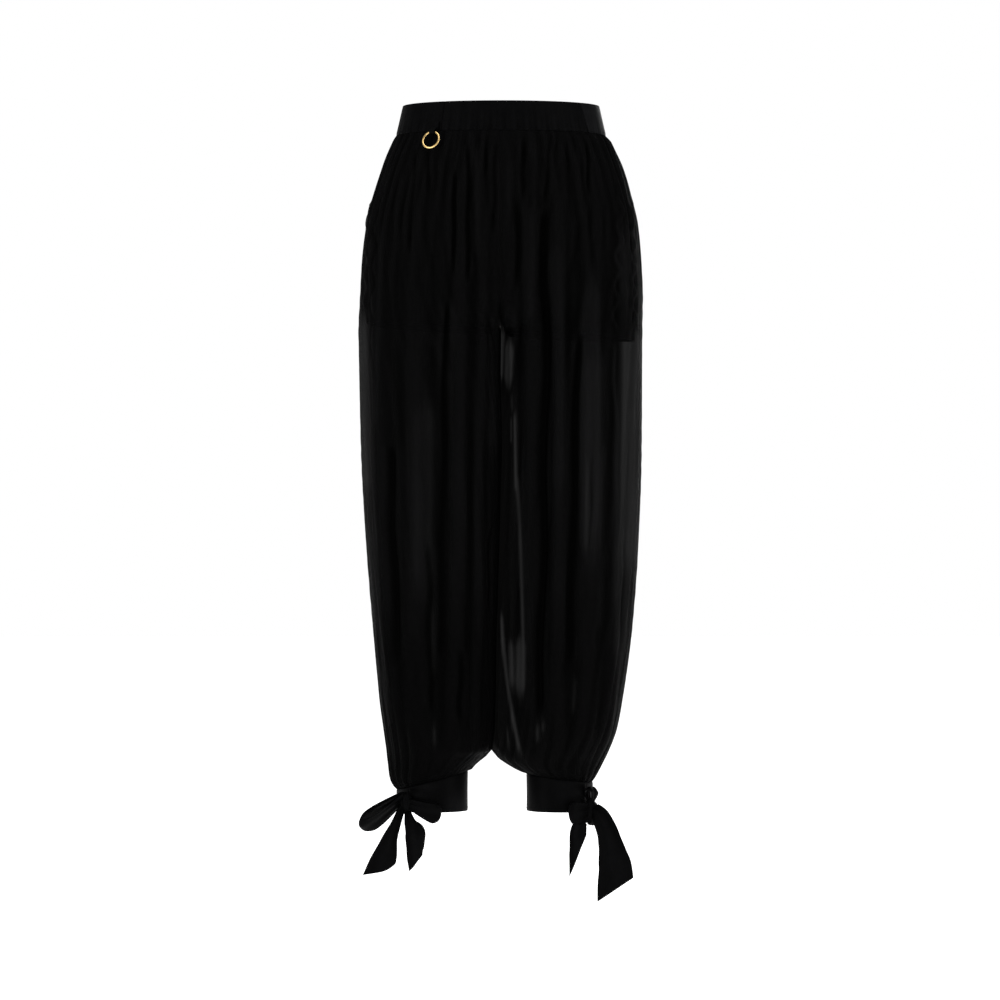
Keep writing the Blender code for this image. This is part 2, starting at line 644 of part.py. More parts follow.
def loop(side, part, cutter):
    """A bow's loop."""
    size = LOOPS[side, part]
    reach = Vector((size.reach_x, size.reach_y, size.reach_z))
    length, forward = reach.length, reach.normalized()
    wide = forward.cross(Vector((0.0, -1.0, 0.0))).normalized()
    wide = Matrix.Rotation(math.radians(size.tilt), 3, forward) @ wide
    open_way = wide.cross(forward)
    root_gap = RIBBON_WALL + 2 * SEAM_GAP
    start = knot_centre(side) + Vector((0.0, 0.0, size.rise))

    def centre(row):
        turn = math.pi * row / LOOP_ROWS
        aside = root_gap * math.cos(turn) + size.opening / 2 * math.sin(2 * turn)
        return start + forward * (length * math.sin(turn)) + open_way * aside

    def frame_at(row, offset):
        turn = math.pi * row / LOOP_ROWS
        path = centre(min(row + 1, LOOP_ROWS)) - centre(max(row - 1, 0))
        width = blend(size.root, size.width, math.sin(turn) ** LOOP_FULLNESS)
        face = path.cross(wide).normalized()
        return centre(row) + wide * (width * offset), face

    ribbon_wall(f"tie_{side}_loop_{part}", LOOP_ROWS, frame_at, cutter)


def curve_through(rows, row, steps):
    """The table's row at a step, on a smooth curve through all of its rows."""
    index = min(int(row / steps), len(rows) - 2)
    local = row / steps - index
    picks = [rows[min(max(index + k, 0), len(rows) - 1)] for k in (-1, 0, 1, 2)]
    values = []
    for a, b, c, d in zip(*picks):
        leave, arrive = (c - a) / 2, (d - b) / 2
        square = 3 * (c - b) - 2 * leave - arrive
        cube = 2 * (b - c) + leave + arrive
        values.append(b + leave * local + square * local**2 + cube * local**3)
    return values


def tail(side, part, cutter):
    """A bow's tail, with its end cut on the slant."""
    stations = TAILS[side, part]
    cut = TAIL_CUT[side, part]
    down = (len(stations) - 1) * RIBBON_STEPS

    def frame_at(row, offset):
        here = Station(*curve_through(stations, row, RIBBON_STEPS))
        ahead = Vector(curve_through(stations, min(row + 1, down), RIBBON_STEPS)[:3])
        behind = Vector(curve_through(stations, max(row - 1, 0), RIBBON_STEPS)[:3])
        path = (ahead - behind).normalized()
        wide = path.cross(Vector((0.0, -1.0, 0.0))).normalized()
        wide = Matrix.Rotation(math.radians(here.twist), 3, path) @ wide
        face = path.cross(wide)
        middle = Vector(here[:3]) + wide * (here.width * offset)
        middle -= face * (here.crown * (1.0 - 4.0 * offset * offset))
        return middle + path * (cut * offset * (row / down) ** CUT_POWER), face

    ribbon_wall(f"tie_{side}_tail_{part}", down, frame_at, cutter)


def tie(side):
    """A tied ribbon: the knot, and the loops and tails that come out of it."""
    knot_shape(f"tie_{side}_knot", side, 0.0)
    cutter = knot_shape(f"cutter_{side}_knot", side, SEAM_GAP)
    cutter.hide_render = True
    cutter.display_type = "WIRE"
    for part in ("outer", "inner"):
        loop(side, part, cutter)
        tail(side, part, cutter)


# ---------------------------------------------------------------- ring
def ring_frame():
    """The waistband's point that the ring hangs below, its outward normal and its tangent."""
    turn = math.degrees(math.acos(RING_X / BAND_BOTTOM_WIDTH))
    point, normal = band_point(turn, BAND_BOTTOM, BAND_WALL / 2)
    outward_normal = Vector((normal.x, normal.y, 0.0))
    tangent = Vector((0.0, 0.0, 1.0)).cross(outward_normal)
    return Vector((point.x, point.y, BAND_BOTTOM)), outward_normal, tangent


def pivot_point():
    """The middle of the tab's loop, which the ring swings about."""
    point, normal, _ = ring_frame()
    return point + normal * PIVOT_OUT - Vector((0.0, 0.0, PIVOT_DROP))


def ring_tilt():
    """How far the ring leans out at rest, in radians, so that it clears the gathers."""
    point, normal, _ = ring_frame()
    pivot = pivot_point()
    reach = RING_OUTER - RING_WIRE / 2
    clear = WAIST_GATHER + SHEER_WALL + RING_CLEARANCE + RING_WIRE / 2
    tilt = 0.0
    for _ in range(RING_SETTLES):
        z = pivot.z - reach * math.cos(tilt)
        line = outline(RIGHT, FRONT, z)
        cloth = max(Vector((p.x, p.y, 0.0)).dot(normal) for p in line)
        needed = cloth + clear - pivot.dot(normal)
        tilt = math.asin(min(needed / reach, RING_STEEPEST))
    return tilt


def ring():
    """A plain round ring of bent wire."""
    bm = bmesh.new()
    radius = (RING_OUTER - RING_WIRE) / 2
    bmesh.ops.create_circle(bm, segments=RING_SIDES, radius=RING_WIRE / 2 * MM)
    bmesh.ops.rotate(bm, verts=bm.verts, matrix=Matrix.Rotation(math.pi / 2, 3, "X"))
    bmesh.ops.translate(bm, verts=bm.verts, vec=(radius * MM, 0.0, 0.0))
    bmesh.ops.spin(
        bm,
        geom=list(bm.verts) + list(bm.edges),
        cent=(0.0, 0.0, 0.0),
        axis=(0.0, 0.0, 1.0),
        angle=2 * math.pi,
        steps=RING_TURNS,
        use_merge=True,
    )
    made = finish("ring", bm, "gold")
    _, normal, tangent = ring_frame()
    hang = ring_tilt()
    down = normal * math.sin(hang) - Vector((0.0, 0.0, 1.0)) * math.cos(hang)
    turned = Matrix((tangent, -down, tangent.cross(-down))).transposed().to_4x4()
    pivot = bpy.data.objects.new("ring_pivot", None)
    bpy.context.scene.collection.objects.link(pivot)
    pivot.matrix_world = Matrix.Translation(pivot_point() * MM) @ turned
    made.parent = pivot
    made.location = (0.0, -radius * MM, 0.0)
    return made


def ring_tab():
    """The strip of band cloth that holds the ring: flat on the band, then round the wire."""
    point, normal, tangent = ring_frame()
    up = Vector((0.0, 0.0, 1.0))
    pivot = pivot_point()
    radius = TAB_BORE + TAB_WALL / 2
    lean = (BAND_BOTTOM_DEPTH - BAND_TOP_DEPTH) / (BAND_TOP - BAND_BOTTOM)
    back_out = SEAM_GAP + TAB_WALL / 2
    front_out = back_out + TAB_WALL + SEAM_GAP
    slant = normal * -lean
    path = [point + (up + slant) * TAB_HEIGHT + normal * back_out]
    path.append(point + (up + slant) * TAB_BEND + normal * back_out)
    for step in range(TAB_TURNS + 1):
        angle = math.radians(blend(TAB_LOOP_START, TAB_LOOP_END, step / TAB_TURNS))
        path.append(pivot + normal * (radius * math.cos(angle)) + up * (radius * math.sin(angle)))
    path.append(point + (up + slant) * TAB_FRONT_BEND + normal * front_out)
    path.append(point + (up + slant) * TAB_HEIGHT + normal * front_out)
    across, down = 2, len(path) - 1

    def place(column, row):
        ahead, behind = path[min(row + 1, down)], path[max(row - 1, 0)]
        direction = (ahead - behind).normalized()
        face = direction.cross(tangent).normalized() * (TAB_WALL / 2)
        middle = path[row] + tangent * (TAB_WIDTH * (column / across - 0.5))
        return tuple(middle - face), tuple(middle + face)

    return cloth_wall("ring_tab", across, down, place, "satin")


def clear_scene():
    for obj in list(bpy.data.objects):
        bpy.data.objects.remove(obj)


def main():
    clear_scene()
    waistbands()
    for side in SIDES:
        for face in FACES:
            trouser_panel(side, face)
            lining_panel(side, face)
        cuff(side)
        tie(side)
    ring()
    ring_tab()


main()
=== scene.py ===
"""High-waisted balloon trousers in sheer cloth: surfaces, finishes and stage over the solids.

Sides are the wearer's: right is at -X and left at +X, and the front faces -Y. The tables are
in millimetres from the middle of the waist, and MM turns them into Blender's metres.
"""

import json
import math
from collections import namedtuple

import bmesh
import bpy
import numpy as np
from bpy.props import FloatProperty, FloatVectorProperty, PointerProperty
from mathutils import Matrix, Vector


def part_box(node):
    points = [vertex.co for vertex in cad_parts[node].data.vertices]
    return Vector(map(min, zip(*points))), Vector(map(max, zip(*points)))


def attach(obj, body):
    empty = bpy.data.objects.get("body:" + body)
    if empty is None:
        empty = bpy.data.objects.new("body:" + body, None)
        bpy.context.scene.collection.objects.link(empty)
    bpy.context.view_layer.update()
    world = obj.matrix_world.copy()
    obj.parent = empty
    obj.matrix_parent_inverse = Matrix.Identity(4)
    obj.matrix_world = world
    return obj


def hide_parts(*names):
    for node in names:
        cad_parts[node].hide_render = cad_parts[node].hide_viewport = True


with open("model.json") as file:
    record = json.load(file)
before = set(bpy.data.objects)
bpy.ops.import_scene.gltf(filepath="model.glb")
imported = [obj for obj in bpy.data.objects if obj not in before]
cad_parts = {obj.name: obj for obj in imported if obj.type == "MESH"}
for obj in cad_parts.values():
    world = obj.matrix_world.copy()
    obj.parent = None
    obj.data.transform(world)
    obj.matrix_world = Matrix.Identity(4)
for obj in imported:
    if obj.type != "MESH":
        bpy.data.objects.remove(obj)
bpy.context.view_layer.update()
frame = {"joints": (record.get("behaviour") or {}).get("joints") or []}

bl_info = {
    "name": "Balloon trousers",
    "version": (1, 0, 0),
    "blender": (4, 5, 0),
    "location": "View3D > Sidebar > Trousers",
    "description": "Sheer balloon trousers with lining shorts, satin bands and tied bows",
    "category": "Object",
}

MM = 0.001
RIGHT, LEFT = SIDES = "right", "left"
FRONT, BACK = FACES = "front", "back"
OUTWARD = {RIGHT: -1, LEFT: 1}  # the way along x to that side
GARMENT, RING_BODY = "garment", "ring"
SHEER, LINING, SATIN, METAL = "sheer_cloth", "lining_cloth", "satin_cloth", "ring_metal"
TURN = 2 * math.pi

# ---------------------------------------------------------------- the trousers' outline
# Each leg's edges are in x, front and back are depths, power is how square the section is,
# and lean is how far the plane between the legs leans in x for each step in y.
Section = namedtuple(
    "Section", "z right_outer right_inner left_inner left_outer front back power lean"
)
BAND_TOP, BAND_BOTTOM = 20, -20
CUFF_TOP, CUFF_BOTTOM = -885, -929.5
SECTIONS = [
    (BAND_BOTTOM, -139.1, 0, 0, 141.9, 95, 95, 2.1, 0),
    (-27, -142, 0, 0, 149, 98.5, 98.5, 2.1, 0),
    (-38, -147.3, 0, 0, 154.3, 103, 103, 2.1, 0),
    (-60, -157, 0, 0, 164.2, 109, 110, 2.1, 0),
    (-95, -168.5, 0, 0, 175, 115, 118, 2.15, 0),
    (-140, -180, 0, 0, 185.8, 119, 126, 2.2, 0),
    (-192, -186.1, 0, 0, 190.5, 121, 132, 2.2, 0),
    (-237, -188.4, 0, 0, 192.4, 121, 134, 2.2, 0),
    (-270, -190.2, 0, 0, 191.8, 120, 133, 2.25, 0.08),
    (-282, -190.6, -0.5, 0.5, 191.7, 120, 132, 2.3, 0.11),
    (-312, -190, -1.6, 0.6, 191.4, 119, 130, 2.35, 0.14),
    (-350, -189.3, -2.2, 0.1, 191.2, 118, 127.5, 2.4, 0.16),
    (-450, -186.9, -3.7, -1.3, 190.6, 114, 120, 2.5, 0.22),
    (-570, -180.2, -6.7, -4.3, 186.3, 108, 111, 2.5, 0.22),
    (-680, -171.3, -9.2, -6.8, 178.4, 101, 103, 2.45, 0.22),
    (-770, -163, -11.3, -8.9, 166.6, 94, 96, 2.4, 0.24),
    (-820, -155.8, -12.8, -10.2, 156.8, 87, 88, 2.35, 0.24),
    (-846, -151.8, -15.2, -10.6, 146.6, 77, 78, 2.25, 0.2),
    (-860, -149.6, -19.7, -4.2, 139, 66, 67, 2.15, 0.08),
    (-872, -147, -34.6, 16.4, 131.6, 56, 56, 2.05, 0),
    (-880, -142.5, -40.6, 32.5, 126.7, 48.5, 48.5, 2, 0),
    (CUFF_TOP, -138.2, -44.2, 36.6, 123.6, 44.5, 44.5, 2, 0),
]
BLOUSE, BLOUSE_TOP, BLOUSE_FULL = 5, -856, -876  # the cloth sags over the cuff's top
CROTCH_Z, CROTCH_RISE, CROTCH_SHARE = -282, 55, 0.45
LEG_FORM = 120  # above and below the crotch, where the hip turns into two legs
HIP_SPREAD, WAIST_SPREAD = 1.7, 1.1
SPREAD_TOP, SPREAD_BOTTOM = -60, -400
SHEER_ACROSS, SHEER_DOWN = 168, 250  # steps of a sheer panel's grid

# ---------------------------------------------------------------- gathers and folds
GATHERS = 13
SEAM_SHARE = 0.3  # of a gather's height, at the seam that holds it
WANDERS = ((0.22, 2.3, 1.0), (0.12, 5.1, 2.0))  # share of a step, turn for each column, seed
RIDGE_MEAN, RIDGE_VARIES = 0.6, 0.4
WAIST_REACH_VARIES, CUFF_REACH_VARIES = 0.75, 0.5  # how unevenly far the gathers run
WAIST_GATHERS, BODY_FOLDS, CUFF_GATHERS = 1, 2, 3  # the columns of the table below
GATHER_LEVELS = [  # z, then the share of each kind of relief there
    (-20, SEAM_SHARE, 0, 0),
    (-38, 1, 0, 0),
    (-95, 0.9, 0.3, 0),
    (-160, 0.5, 0.8, 0),
    (-240, 0.2, 1, 0),
    (-320, 0, 1, 0),
    (-700, 0, 1, 0),
    (-800, 0, 0.5, 0.6),
    (-850, 0, 0.1, 1),
    (-872, 0, 0, 0.8),
    (-885, 0, 0, SEAM_SHARE),
]
FACE_SEEDS = {FRONT: 1.0, BACK: 2.6}
SEEDS = {(RIGHT, FRONT): 0.4, (LEFT, FRONT): 1.9, (RIGHT, BACK): 3.1, (LEFT, BACK): 4.6}
GATHER_SWAY, GATHER_SWAY_STEP = 0.006, 47.0  # share across, and the height of one radian
UPRIGHT_BLEND = 60  # above and below the crotch, where gathers stop hanging from the waist
WAIST_STREAKS = (31, -130, BAND_BOTTOM - 4)  # count, and where they end and start
CUFF_STREAKS = (37, -720, CUFF_TOP + 4)
LEG_CLEARANCE = 0.4  # from a leg's cloth to the plane between the legs
SEAM_FADE = 0.05  # the share across over which relief dies away at a seam

FOLD_TOP, FOLD_BOTTOM, FOLD_SWAY, FOLD_SWAY_STEP = -95, -850, 1.5, 75.0
FOLDS = {  # x at the hip, x at the hem, half width and height
    (RIGHT, FRONT): [
        (-168, -140, 14, 4), (-110, -104, 26, 5.5), (-52, -62, 17, 6), (-24, -36, 12, 4.5),
    ],
    (LEFT, FRONT): [
        (38, 36, 14, 4.5), (80, 76, 14, 6), (122, 112, 22, 6), (164, 140, 14, 4),
    ],
    (RIGHT, BACK): [
        (-168, -140, 14, 4), (-134, -118, 18, 5), (-86, -84, 17, 6), (-48, -50, 10, 4),
        (-18, -26, 12, 4.5),
    ],
    (LEFT, BACK): [
        (168, 142, 14, 4), (138, 124, 14, 5), (93, 86, 17, 6), (52, 52, 12, 5), (20, 22, 10, 4.5),
    ],
}

# Creases pressed or raised in the cloth: x_top, x_bottom, z_top and z_bottom, where one
# starts and ends, rise, how far it stands out, less than 0 in a trough, reach, its half width,
# and wave and pitch, how far it sways to each side in every so much of its length.
CREASES = {
    (RIGHT, FRONT): [
        (-94.6, -96, -42, -112, -2.6, 3, 0.5, 60),
        (-59.6, -61, -66, -222, -3.2, 2.8, 0.6, 80),
        (-41.7, -43, -30, -228, -3.6, 3.4, 0.7, 90),
        (-78, -82, -40, -150, 1.8, 4, 0.8, 70),
        (-30, -33, -32, -128, 2, 3.6, 0.5, 60),
        (-6, -8.5, -24, -166, -3, 3.6, 0.6, 70),
        (-18, -20, -26, -92, -2.2, 2.4, 0.4, 40),
        (-112, -121, -36, -190, -1.8, 3.2, 1, 90),
        (-130, -143, -60, -240, 1.6, 5, 1.4, 80),
        (-70.8, -80, -241, -724, -3.4, 3, 1.2, 210),
        (-147, -138, -430, -735, -5.2, 7, 1.6, 190),
        (-118, -112, -300, -700, 2.6, 8, 1.5, 240),
        (-52, -54, -700, -815, -4.2, 4.4, 0.8, 70),
        (-95, -92, -560, -800, -2.4, 4, 1.2, 130),
        (-12, -13.5, -540, -668, -2.6, 3, 0.8, 90),
        (-34, -30, -330, -640, 2, 6.5, 1.4, 200),
        (-174, -180, -88, -268, 1.5, 2.2, 3.2, 36),
        (-165, -171, -110, -330, -1.4, 2.6, 2.4, 50),
    ],
    (LEFT, FRONT): [
        (31, 30, -27, -124, -4, 4, 0.7, 60),
        (24, 25, -112, -236, -3, 6, 1, 90),
        (45, 44, -40, -136, 2.4, 3.4, 0.8, 60),
        (61, 51, -119, -800, -7.6, 7.2, 2.2, 260),
        (66, 60, -26, -130, -2.4, 3, 0.9, 60),
        (76, 74, -20, -66, -2.6, 2.6, 0.4, 40),
        (88, 92, -22, -88, -1.8, 2.4, 0.5, 40),
        (101, 106, -30, -150, 1.8, 4, 0.8, 70),
        (116, 118, -24, -112, -3, 2.4, 0.5, 60),
        (118, 120, -112, -214, -1.8, 5, 1.2, 90),
        (104, 91, -286, -730, -4.2, 3.8, 1.6, 220),
        (80, 74, -240, -640, 2.6, 6.5, 1.6, 240),
        (136, 128, -300, -690, 3, 9, 1.6, 240),
        (122, 118, -440, -590, -2.2, 2.4, 0.8, 90),
        (20, 24, -330, -640, 1.6, 4, 1.2, 150),
        (160, 151, -92, -296, 1.9, 2, 3.4, 40),
        (176, 178, -100, -300, 1.6, 2.2, 3, 32),
        (151, 154, -290, -640, 1.6, 2.2, 1.4, 120),
        (168, 160, -560, -720, -1.8, 3, 1, 80),
    ],
    (RIGHT, BACK): [
        (-22, -24, -24, -176, -3.4, 3.4, 0.7, 70),
        (-47, -50, -28, -240, -3, 3, 0.8, 90),
        (-72, -77, -40, -150, -2.4, 3, 0.6, 60),
        (-104, -113, -26, -210, -2.8, 3.4, 0.9, 80),
        (-60, -66, -240, -760, -4.6, 4.4, 1.8, 240),
        (-110, -104, -330, -720, -3.2, 4, 1.4, 210),
        (-140, -132, -280, -600, 2.4, 7, 1.5, 200),
        (-34, -38, -420, -800, -2.8, 4, 1.2, 160),
        (-170, -176, -96, -280, 1.5, 2.2, 3, 38),
    ],
    (LEFT, BACK): [
        (14, 16, -22, -150, -3, 3.2, 0.6, 60),
        (38, 41, -30, -252, -3.4, 3.4, 0.9, 90),
        (64, 69, -24, -132, -2.4, 2.8, 0.6, 50),
        (92, 99, -30, -226, -2.8, 3.4, 0.8, 80),
        (122, 132, -40, -180, -2, 3, 0.9, 70),
        (70, 64, -220, -700, -4.4, 4.6, 1.8, 230),
        (116, 108, -300, -770, -3.4, 4, 1.4, 210),
        (34, 40, -380, -790, -3, 4.4, 1.4, 180),
        (172, 178, -92, -290, 1.6, 2.2, 3.2, 36),
    ],
}
CREASE_ENDS = 26  # the length over which a crease dies away
CRUMPLES = ((0.35, 83, 31, 0.4), (0.28, 47, 19, 2.1), (0.22, 131, 12, 4))

# Places where the cloth isn't bunched, so that light comes through. cover is how many times
# thinner than the gathered cloth it looks there, and bow how far its middle stands aside.
Thin = namedtuple("Thin", "x_top x_bottom z_top z_bottom reach cover bow", defaults=(0.0,))
THINS = {
    RIGHT: [
        (-186, -179, -240, -540, 9, 1),
        (-182, -170, -420, -720, 7, 0.6),
        (-102, -104, -354, -700, 13, 0.36),
        (-92, -90, -640, -760, 3.6, 0.4),
        (-89.5, -88, -806, -852, 2.2, 0.8),
        (-12.5, -31, -838, -872, 2.4, 1, -2),
        (-23, -40, -846, -876, 2.2, 0.8, -1),
    ],
    LEFT: [
        (176, 170, -252, -690, 15, 0.95),
        (168, 160, -520, -790, 12, 0.5),
        (124, 119, -292, -640, 14, 0.3),
        (121, 118, -440, -590, 2.6, 0.9),
        (142, 141, -420, -620, 5, 0.4),
        (3.4, -1, -264, -366, 4.4, 1.05),
        (15, 11.6, -274, -382, 6.8, 1.1),
        (17.6, 17.4, -364, -396, 1.2, 1),
        (15.7, 15.5, -392, -440, 1.6, 1.15),
        (22, 23.4, -380, -512, 1.9, 1.1),
        (22.6, 31.7, -462, -775, 2.4, 1.1, 3.2),
        (14, 17, -684, -782, 4.6, 1),
        (29, 28, -676, -800, 7, 1.05),
        (1.6, 31.6, -650, -868, 2.8, 1.15, -6.3),
        (-8, -7, -684, -760, 3, 0.5),
        (102, 98, -740, -810, 2.4, 0.9),
        (51, 50.5, -806, -846, 2.6, 0.95),
        (58.5, 57.5, -802, -832, 2, 0.85),
        (8.5, 13.5, -814, -848, 1.8, 1),
        (-10, 8, -838, -868, 2.6, 1.05, -2),
        (4, 24, -860, -876, 3, 0.9, -2),
    ],
}
THIN_ENDS, THIN_EDGE, THIN_POINT = 18, 3, 0.2
THIN_IN_TROUGH, THIN_BY_CROWN = 0.45, 0.72  # thinness counts more on the ridges
# Painted shade: the legs' colour darkens towards the ankles, where the cloth is bunched again.
LOWER_SHADE, LOWER_SHADE_LEVELS = {RIGHT: 0.42, LEFT: 0.28}, (-590, -740)
# The left leg's cloth beside the inseam: its thinness, and where it comes in and is full, by
# share across.
INSEAM_THIN, INSEAM_LEVELS = {FRONT: (0.36, 0.78, 0.86), BACK: (0.3, 0.58, 0.66)}, (-302, -392)

# Painted highlights: flatter folds on the front drawn lighter, as they catch more light, with the
# same fields; cover is how much lighter, as a share.
GLEAMS = {
    RIGHT: [
        (-29.8, -30.5, -37, -197, 3.6, 0.5),
        (-102.6, -103, -372, -660, 12, 0.3),
        (-66, -62, -120, -320, 5, 0.3),
        (-157, -163, -130, -420, 2.4, 0.7),
        (-7, -8, -248, -352, 8, 1.8),
        (-8, -9, -290, -480, 10, 1.3),
    ],
    LEFT: [
        (12, 17, -244, -352, 14, 2.6),
        (0, -3, -290, -480, 4, 1.5),
        (166, 173, -130, -310, 17, 0.9),
        (12.6, 14, -46, -140, 5, 0.45),
        (43, 42, -104, -284, 4, 0.4),
        (73.5, 78, -157, -520, 8, 0.4),
        (118, 119, -200, -640, 13, 0.75),
        (28, 33, -330, -640, 4, 0.5),
        (150, 151, -300, -660, 3, 0.8),
    ],
}
# A ridge's crown: the weight of its height over its neighbours, as far as so many columns. The
# finishes paint it as highlight on the ridges and shade in the troughs.
CROWN_MEANS, CROWN_START = ((1.5, 5), (0.2, 14)), 0.85
PLAIN_CROWN, EVEN_CROWN = 0.7, 0.6  # on plain sheer cloth, and on pieces without relief

# ---------------------------------------------------------------- seams and stitches
SEAM_HALF, SEAM_RISE, SEAM_PUCKER, SEAM_LIFT, SEAM_STEPS = 1.6, 0.5, 0.2, 0.15, 220
SEAM_GAP = 0.3
STITCH_LENGTH, STITCH_GAP, STITCH_HALF = 2.2, 0.9, 0.16

# ---------------------------------------------------------------- waistband
BAND_TOP_WIDTH, BAND_TOP_DEPTH = 131.5, 87.5
BAND_BOTTOM_WIDTH, BAND_BOTTOM_DEPTH = 140.5, 95
BAND_POWER, BAND_ASIDE = 2.1, 1.4
BAND_DOWN, BAND_FRONT_ACROSS, BAND_BACK_ACROSS = 26, 150, 320
BAND_LEFT_END, BAND_RIGHT_END = (37.5, 34.5), (123.5, 123.5)  # turns at the top and bottom
BAND_END_GAP = 0.1
BAND_RIPPLE = 0.35
BAND_PRESSED = ((17.6, 0.8, 0.35), (-18.6, 1.0, 0.5))  # z, reach and depth of pressed lines
BAND_END_PRESSED = (1.4, 0.45)  # reach and depth
# Painted highlight on the back band's left end, which catches the light: its strength, and its
# length in degrees.
BAND_LIT, BAND_LIT_TURN = 1.3, 20  # the back band's left end, which catches the light
BAND_STITCHES_Z, BAND_FRONT_STITCHES, BAND_BACK_STITCHES = -17.2, (39, 122), (125, 394)

# ---------------------------------------------------------------- lining shorts
LINING_TUCK, LINING_INSET, LINING_INSET_Z = 2.35, 11, -60
LINING_TOP, LINING_CROTCH_Z, LINING_INSEAM_HEM = -16, -262, -286
LINING_HEM = {RIGHT: -272, LEFT: -297}
LINING_SEAM_SHARE = 0.2
LINING_SOFT, LINING_SOFT_LEVELS = 0.9, (-30, -120)
HEM_ROLL, HEM_SUNK, HEM_DEPTH = 0.3, 0.2, 15
HEM_STITCHES = 0.945  # of the way down
LINING_ACROSS, LINING_DOWN = 90, 110

# ---------------------------------------------------------------- cuffs
CUFF_WIDTH, CUFF_DEPTH = {RIGHT: 47, LEFT: 43.5}, 44.5
CUFF_CENTRE, CUFF_MIDDLE_Z = {RIGHT: -91.2, LEFT: 80.1}, -907
CUFF_DROOP, CUFF_SINK, DROOP_TOP = {RIGHT: 13, LEFT: 6}, {RIGHT: 3, LEFT: 0}, -846
CUFF_DOWN, CUFF_ACROSS, CUFF_RUN = 30, 180, 45  # steps, and its depth for its edges
# A painted highlight on the right cuff's lower edge: its strength, and its turn round the cuff in
# degrees.
CUFF_GLEAM, CUFF_GLEAM_TURN = 1.1, 145
CUFF_STITCHES = (("top", 0.07), ("bottom", 0.93))

# ---------------------------------------------------------------- ties
KNOT_SIZE = {RIGHT: (11, 8, 15), LEFT: (12, 8, 18)}
KNOT_TURN = {RIGHT: 50, LEFT: 37}
KNOT_Z = {RIGHT: -917, LEFT: -930}
KNOT_OUT = 1.2
RIBBON_DOWN, LOOP_ACROSS, TAIL_ACROSS = 90, 20, 24
LOOP_FULLNESS, LOOP_ROOT, CUT_POWER = 0.8, 1.3, 1.7
Loop = namedtuple("Loop", "rise reach_x reach_y reach_z root width tilt opening")
LOOPS = {
    (RIGHT, "outer"): Loop(10, -59, -5, -42.5, 15, 31, -50, 10),
    (RIGHT, "inner"): Loop(1.5, 48, -20, -16.5, 9, 28, 12, 8),
    (LEFT, "outer"): Loop(13, 0, 3, 21, 8, 19, 56, 8),
    (LEFT, "inner"): Loop(4, -29.5, -26, -5, 14, 32, -6, 8),
}
Station = namedtuple("Station", "x y z width twist crown")
TAILS = {
    (RIGHT, "outer"): [
        (-131, -46, -921.5, 9, 0, 0.5),
        (-138.8, -55, -942.5, 13, 6, 1),
        (-147.2, -58, -962.5, 20, 10, 1.8),
        (-152.3, -58.5, -978.5, 28, 10, 2.2),
        (-157, -58, -993.5, 35.5, 8, 2),
        (-161, -57, -1008.5, 41.5, 6, 1.6),
    ],
    (RIGHT, "inner"): [
        (-123.5, -44.5, -928, 8, -10, 0.5),
        (-119.8, -56, -942, 17, -20, 1.2),
        (-113.8, -60.5, -955, 29.5, -25, 2.4),
        (-113.2, -61, -971, 27.5, -28, 3),
        (-113.6, -60, -985, 24, -28, 2.8),
        (-112.8, -59, -996, 21.5, -26, 2.2),
    ],
    (LEFT, "inner"): [
        (117, -40, -935, 9, -10, 0.5),
        (109, -50, -941, 16, -14, 1),
        (104.6, -54.6, -951, 22, -18, 1.6),
        (103.8, -57.5, -967, 24.5, -20, 2),
        (103.8, -58.5, -986, 24.5, -20, 2),
    ],
    (LEFT, "outer"): [
        (126, -38, -924, 16, 10, 0.8),
        (134.4, -46, -935, 25, 14, 1.6),
        (142.8, -49.5, -953, 29, 14, 2.4),
        (147, -50.5, -969.5, 33, 14, 2.8),
        (150.2, -50.5, -987.5, 40, 12, 3),
        (153.1, -49.5, -1006, 46.7, 10, 2.6),
        (154.6, -48, -1032.5, 50, 8, 2),
    ],
}
TAIL_CUT = {(RIGHT, "outer"): 19, (RIGHT, "inner"): 19, (LEFT, "inner"): 56, (LEFT, "outer"): 31}
TAIL_CORNER = {(RIGHT, "outer"): 8}  # how much the cut's inner corner is rounded off

# ---------------------------------------------------------------- ring and tab
RING_OUTER, RING_WIRE, RING_X = 26, 2.6, -84
TAB_WIDTH, TAB_HEIGHT, TAB_WALL = 8, 13, 0.9
TAB_BEND, TAB_FRONT_BEND = 5, 6
TAB_LOOP_START, TAB_LOOP_END, TAB_TURNS, TAB_BORE = 165, 435, 24, 2.5


# ---------------------------------------------------------------- sizes and finishes to change
def length_prop(name, description, default, low, high):
    values = {"default": default, "min": low, "max": high}
    return FloatProperty(name=name, description=description, unit="LENGTH", **values)


def share_prop(name, description, default, low, high):
    values = {"default": default, "min": low, "max": high}
    return FloatProperty(name=name, description=description, subtype="FACTOR", **values)


def power_prop(name, description, default):
    values = {"default": default, "min": 0.0, "max": 1000.0}
    return FloatProperty(name=name, description=description, unit="POWER", **values)


def colour_prop(name, description, default):
    values = {"default": default, "size": 3, "min": 0.0, "max": 1.0}
    return FloatVectorProperty(name=name, description=description, subtype="COLOR", **values)


